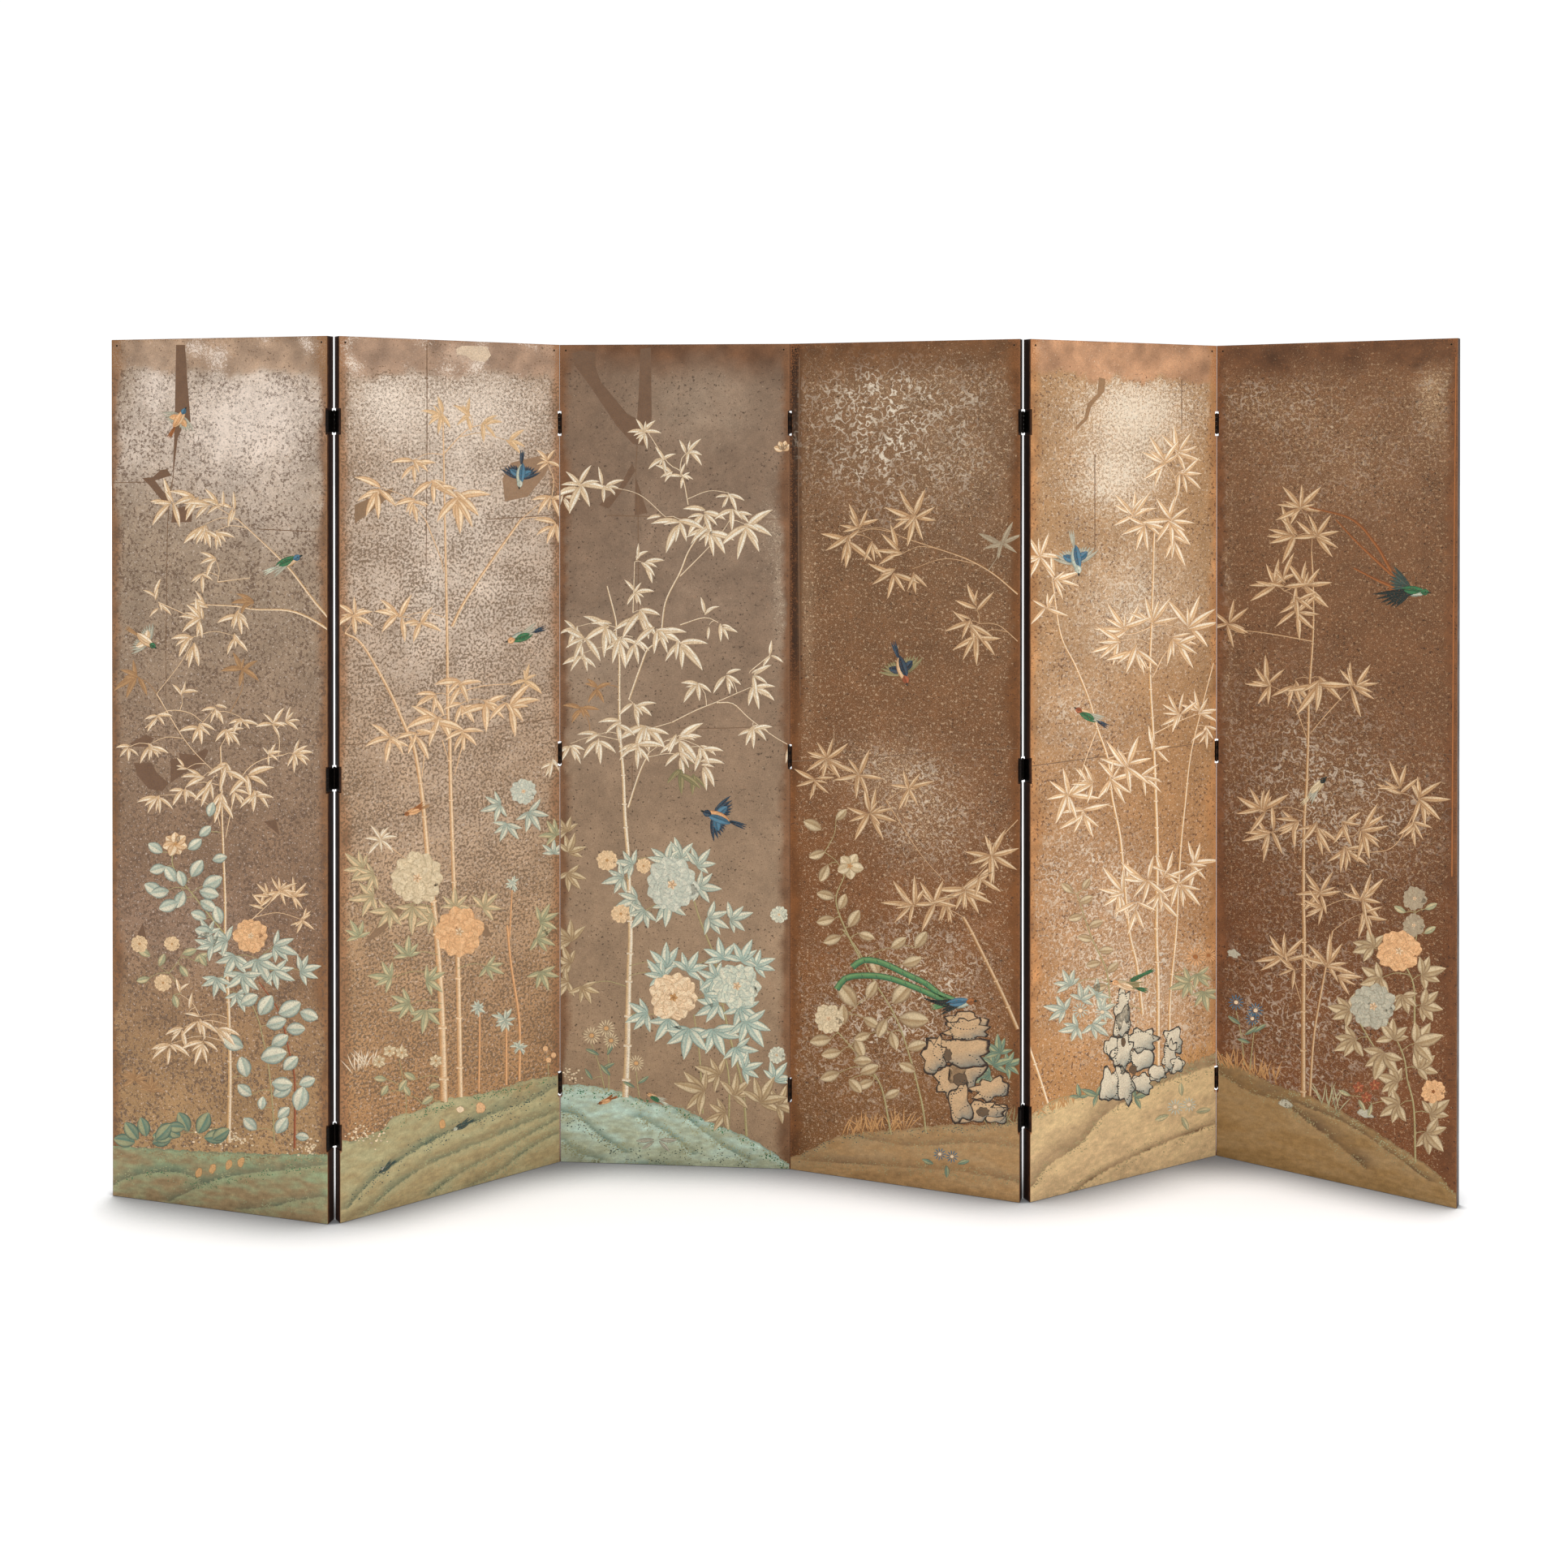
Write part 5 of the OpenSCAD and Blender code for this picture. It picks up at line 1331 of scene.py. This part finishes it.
def paint_panel_6(p):
    """Tan bamboo, boughs of pale leaves, two peonies and a long-tailed bird."""
    p.line("1794 440, 1791 760, 1789 1080", 1.2, 1.8, "rust", GROUND, 1, True)
    p.line("1500 905, 1600 912, 1790 930", 1.1, 0.8, "seam", GROUND, 1, True)
    p.mound("1499 1305, 1529 1315, 1567 1335, 1617 1352, 1667 1377, 1704 1400, 1742 1425, 1767 1442, "
            "1792 1470",
            "a08259", "a98452", "5f4630", [
                ("1502 1322, 1542 1347, 1579 1357, 1604 1377, 1642 1405, 1682 1440", 0.026),
                ("1600 1360, 1660 1385, 1720 1425, 1760 1455", 0.009)], "olive")
    p.stalk("1616 680, 1618 722, 1618 780, 1613 855, 1612 905, 1610 967, 1607 1017, 1606 1105, 1607 1155, "
            "1606 1240, 1606 1352", 2.0, 6.2, "tan")
    p.twigs("tan", "1642 1147, 1629 1217, 1619 1277, 1614 1350", 2.4, 3.4)
    p.twigs("tan", "1646 867, 1630 885, 1614 904; 1596 870, 1611 912; 1617 1215, 1609 1232; 1594 1205, "
            "1603 1235; 1610 700, 1596 722, 1582 728; 1617 790, 1560 780, 1513 775; 1607 1020, 1640 1030, "
            "1668 1030; 1748 990, 1720 1040, 1690 1050, 1650 1048", 1.8, 1.0)
    p.fans("tan", "star", "1603 627 36 7 120 250, 1598 660 40 5 170 130, 1621 662 36 7 60 250, "
            "1571 722 36 5 120 200, 1583 720 32 4 90 150, 1606 725 38 6 30 200, 1596 735 32 4 -60 150, "
            "1596 752 36 6 -30 220, 1513 770 34 6 60 260, 1565 845 34 6 150 230, 1596 837 36 4 -100 110, "
            "1625 834 46 5 -90 150, 1666 847 38 6 30 220, 1558 1000 38 6 130 200, 1568 1025 36 6 190 200, "
            "1601 1012 32 5 200 120, 1623 1015 34 5 -90 140, 1653 1012 30 4 -40 150, "
            "1676 1022 36 6 -20 180, 1656 1042 36 5 -60 140, 1726 977 36 5 110 150, 1748 985 36 7 0 240, "
            "1741 1010 30 4 -80 120, 1626 1102 34 6 90 300, 1633 1117 28 4 190 120, 1676 1110 34 7 40 260, "
            "1681 1125 32 4 -50 130, 1584 1182 36 6 120 200, 1597 1195 28 4 180 150, "
            "1634 1190 36 7 50 240, 1642 1200 32 3 -30 70, 1617 1195 26 3 90 90")
    for path in paths("1732 1190, 1742 1215, 1743 1262; 1709 1257, 1729 1300, 1734 1330, 1742 1365, "
            "1744 1432; 1675 1260, 1700 1300, 1728 1330"):
        p.line(path, 1.6, 2.6, "stem")
    p.broad = 0.5
    p.leafy("ivory", "1692 1168 26 150, 1702 1205 28 200, 1664 1246 28 170, 1752 1200 28 20, "
            "1729 1226 24 -80, 1752 1238 26 -10, 1744 1285 32 10, 1670 1282 28 200, 1706 1298 32 -110, "
            "1747 1317 26 30, 1722 1334 26 160, 1724 1362 28 200, 1762 1372 26 30, 1758 1395 28 -40, "
            "1716 1280 26 90")
    p.bloom(1724, 1172, 25, "orange", 5, "rose")
    p.bloom(1692, 1240, 26, "slate", 5, "rose")
    p.bloom(1766, 1345, 14, "orange", 3, "rust")
    p.bloom(1743, 1107, 14, "ghost", 3, "rose")
    p.bloom(1742, 1140, 13, "ghost", 3, "rose")
    p.line("1743 1118, 1746 1150, 1738 1175", 1.2, 1.6, "stem")
    p.ovals("sage", "1756 1120 16 20, 1732 1124 16 160, 1755 1150 16 30", 0.5)
    p.daisies("blue", "1523 1235 10, 1547 1245 10, 1543 1255 9", "rose", 12)
    for path in paths("1523 1245, 1530 1280, 1533 1312; 1547 1255, 1543 1290, 1540 1318"):
        p.line(path, 1.0, 1.5, "stem")
    p.ovals("heart", "1528 1262 18 150, 1534 1275 18 30, 1540 1285 16 160, 1545 1272 18 40", 0.3)
    for x, y in table("1674 1340, 1684 1352, 1694 1337"):
        p.simple_flower(x, y, 7, "brick", 5)
    for x, y, rx, ry in table("1520 1175 8 5, 1682 1372 10 5, 1584 1360 9 5"):
        p.blob(x, y, rx, ry, "slate", 20, 0.3, GROUND + 2)
    p.grass(1504, 1312, 1574, 1336, 40, 26, 92, "amber")
    p.grass(1627, 1360, 1652, 1370, 14, 30, 92, "sage")
    p.ovals("sage", "1674 1355 16 -60, 1690 1360 16 -100, 1664 1350 16 160", 0.35)
    p.stipple("1502 1322, 1542 1347, 1604 1377, 1682 1440", 120, 6, "olive", 0.9)
    p.stipple("1500 1307, 1567 1337, 1667 1379, 1788 1466", 110, 4, "heart", 0.9, True)
    for path in paths("1738 724, 1716 705, 1696 672, 1666 640, 1613 625; 1736 727, 1706 700, 1672 668, "
            "1646 640; 1734 730, 1700 716, 1668 700"):
        p.line(path, 4.6, 1.8, "rust", TOP, 3)
    p.bird(1744, 729, 52, -4, "green", "teal", "green", "ink", "rust", False)
    for k in range(6):
        p.blade(1740, 727, 50 - 4 * k, 186 + 8 * k, 5, "ink", layer=TOP + 3, span=3)
        p.blade(1738, 724, 34 - 2 * k, 128 + 11 * k, 5, "dark", layer=TOP + 3, span=3)
    p.bird(1624, 969, 44, 48, "snow", "snow", "ink", "slate", "snow", False)


PAINT_PANEL = (paint_panel_1, paint_panel_2, paint_panel_3, paint_panel_4, paint_panel_5, paint_panel_6)


def paint_panel(panel):
    """Paint one panel and fix the painting to its face."""
    painting = Painting(panel)
    PAINT_PANEL[panel.number - 1](painting)
    painting.finish(TONES[panel.number][6])


def finish_frame():
    """The finish of the wood, the hinges and the fixings."""
    frame_wood = wood("frame_wood", "1c0f09", "3a2014", "7a4a2b", 0.8, 0.5)
    face_board = wood("face_board", "3b2114", "5f3b24", "9a6840", 0.9, 0.6)
    back_board = wood("back_board", "24150d", "40281a", "70492f", 0.7, 0.55)
    hinge_metal = metal("hinge_metal", "15100d", "5a4634", 0.6, 0.5)
    barrel_metal = metal("barrel_metal", "2e1d13", "7a5b3c", 0.7, 0.48)
    nail_metal = metal("nail_metal", "1a1310", "54402f", 0.5, 0.55)
    parts = {"left_stile": frame_wood, "right_stile": frame_wood, "rails": frame_wood,
             "face_board": face_board, "painting": bare_paper(), "back_board": back_board,
             "hinge_leaves": hinge_metal, "fixings": nail_metal}
    for number in PANELS:
        for part, made in parts.items():
            dress(f"panel_{number}_{part}", made)
    # The hinges of the two joints that come forward are darker than the others
    for joint in ("12", "23", "34", "45", "56"):
        made = hinge_metal if joint in ("12", "45") else barrel_metal
        dress(f"joint_{joint}_links", made)
        dress(f"joint_{joint}_pins", made)


def floor_and_room():
    """A wide pale floor with a painted contact shadow that darkens it close to the screen, and a white room.
    """
    mesh = bpy.data.meshes.new("studio_floor")
    mesh.from_pydata([(-80, -80, -0.001), (80, -80, -0.001), (80, 80, -0.001), (-80, 80, -0.001)],
                     [], [(0, 1, 2, 3)])
    floor = bpy.data.objects.new("studio_floor", mesh)
    bpy.context.scene.collection.objects.link(floor)
    made, tree, shader = material("floor_painted_shadow", **{"Roughness": 0.9, "Specular IOR Level": 0.0,
                                                    "Emission Strength": 0.3})
    # Painted shadow: ambient occlusion darkens the floor's colour and its faint glow near the screen
    near = put(tree, "AmbientOcclusion", {"Distance": 0.22}, samples=16).outputs["AO"]
    shade = mixed(tree, ramp(tree, near, 0.35, 1.0), colour("6f6f70"), colour("f6f6f6"))
    tree.links.new(shade, shader["Base Color"])
    tree.links.new(shade, shader["Emission Color"])
    mesh.materials.append(made)

    room = bpy.data.worlds.new("white_room")
    bpy.context.scene.world = room
    room.use_nodes = True
    tree = room.node_tree
    tree.nodes.clear()
    white = (1, 1, 1, 1)
    seen = put(tree, "LightPath").outputs["Is Camera Ray"]
    soft = put(tree, "Background", {"Color": white, "Strength": 0.4}).outputs[0]
    plain = put(tree, "Background", {"Color": white, "Strength": 1.05}).outputs[0]
    both = put(tree, "MixShader", {0: seen, 1: soft, 2: plain}).outputs[0]
    put(tree, "OutputWorld", {"Surface": both})


def lamp(name, kind, power, place, towards, **settings):
    """A lamp at a place, turned towards another."""
    data = bpy.data.lights.new(name, kind)
    data.energy = power
    for key, value in settings.items():
        setattr(data, key, value)
    made = bpy.data.objects.new(name, data)
    bpy.context.scene.collection.objects.link(made)
    made.location = place
    made.rotation_euler = (Vector(towards) - Vector(place)).to_track_quat("-Z", "Y").to_euler()


def camera():
    """The camera that took in the screen."""
    eye = bpy.data.cameras.new("eye")
    eye.lens, eye.sensor_width = LENS, SENSOR
    eye.shift_y = (HORIZON - IMAGE / 2) / IMAGE
    made = bpy.data.objects.new("eye", eye)
    made.location, made.rotation_euler = EYE, AIM
    bpy.context.scene.collection.objects.link(made)
    bpy.context.scene.camera = made
    bpy.context.scene.view_settings.view_transform = "Standard"


finish_frame()
floor_and_room()
lamp("overhead", "SUN", 2.05, (0, 0, 6), (0, 0, 0), angle=math.radians(50))
lamp("right_softbox", "AREA", 70, (4.2, -4.6, 3.0), (0, 0, 1.1), size=2.6)
camera()
for number in PANELS:
    panel = Panel(number)
    silver_sheet(panel)
    paint_panel(panel)
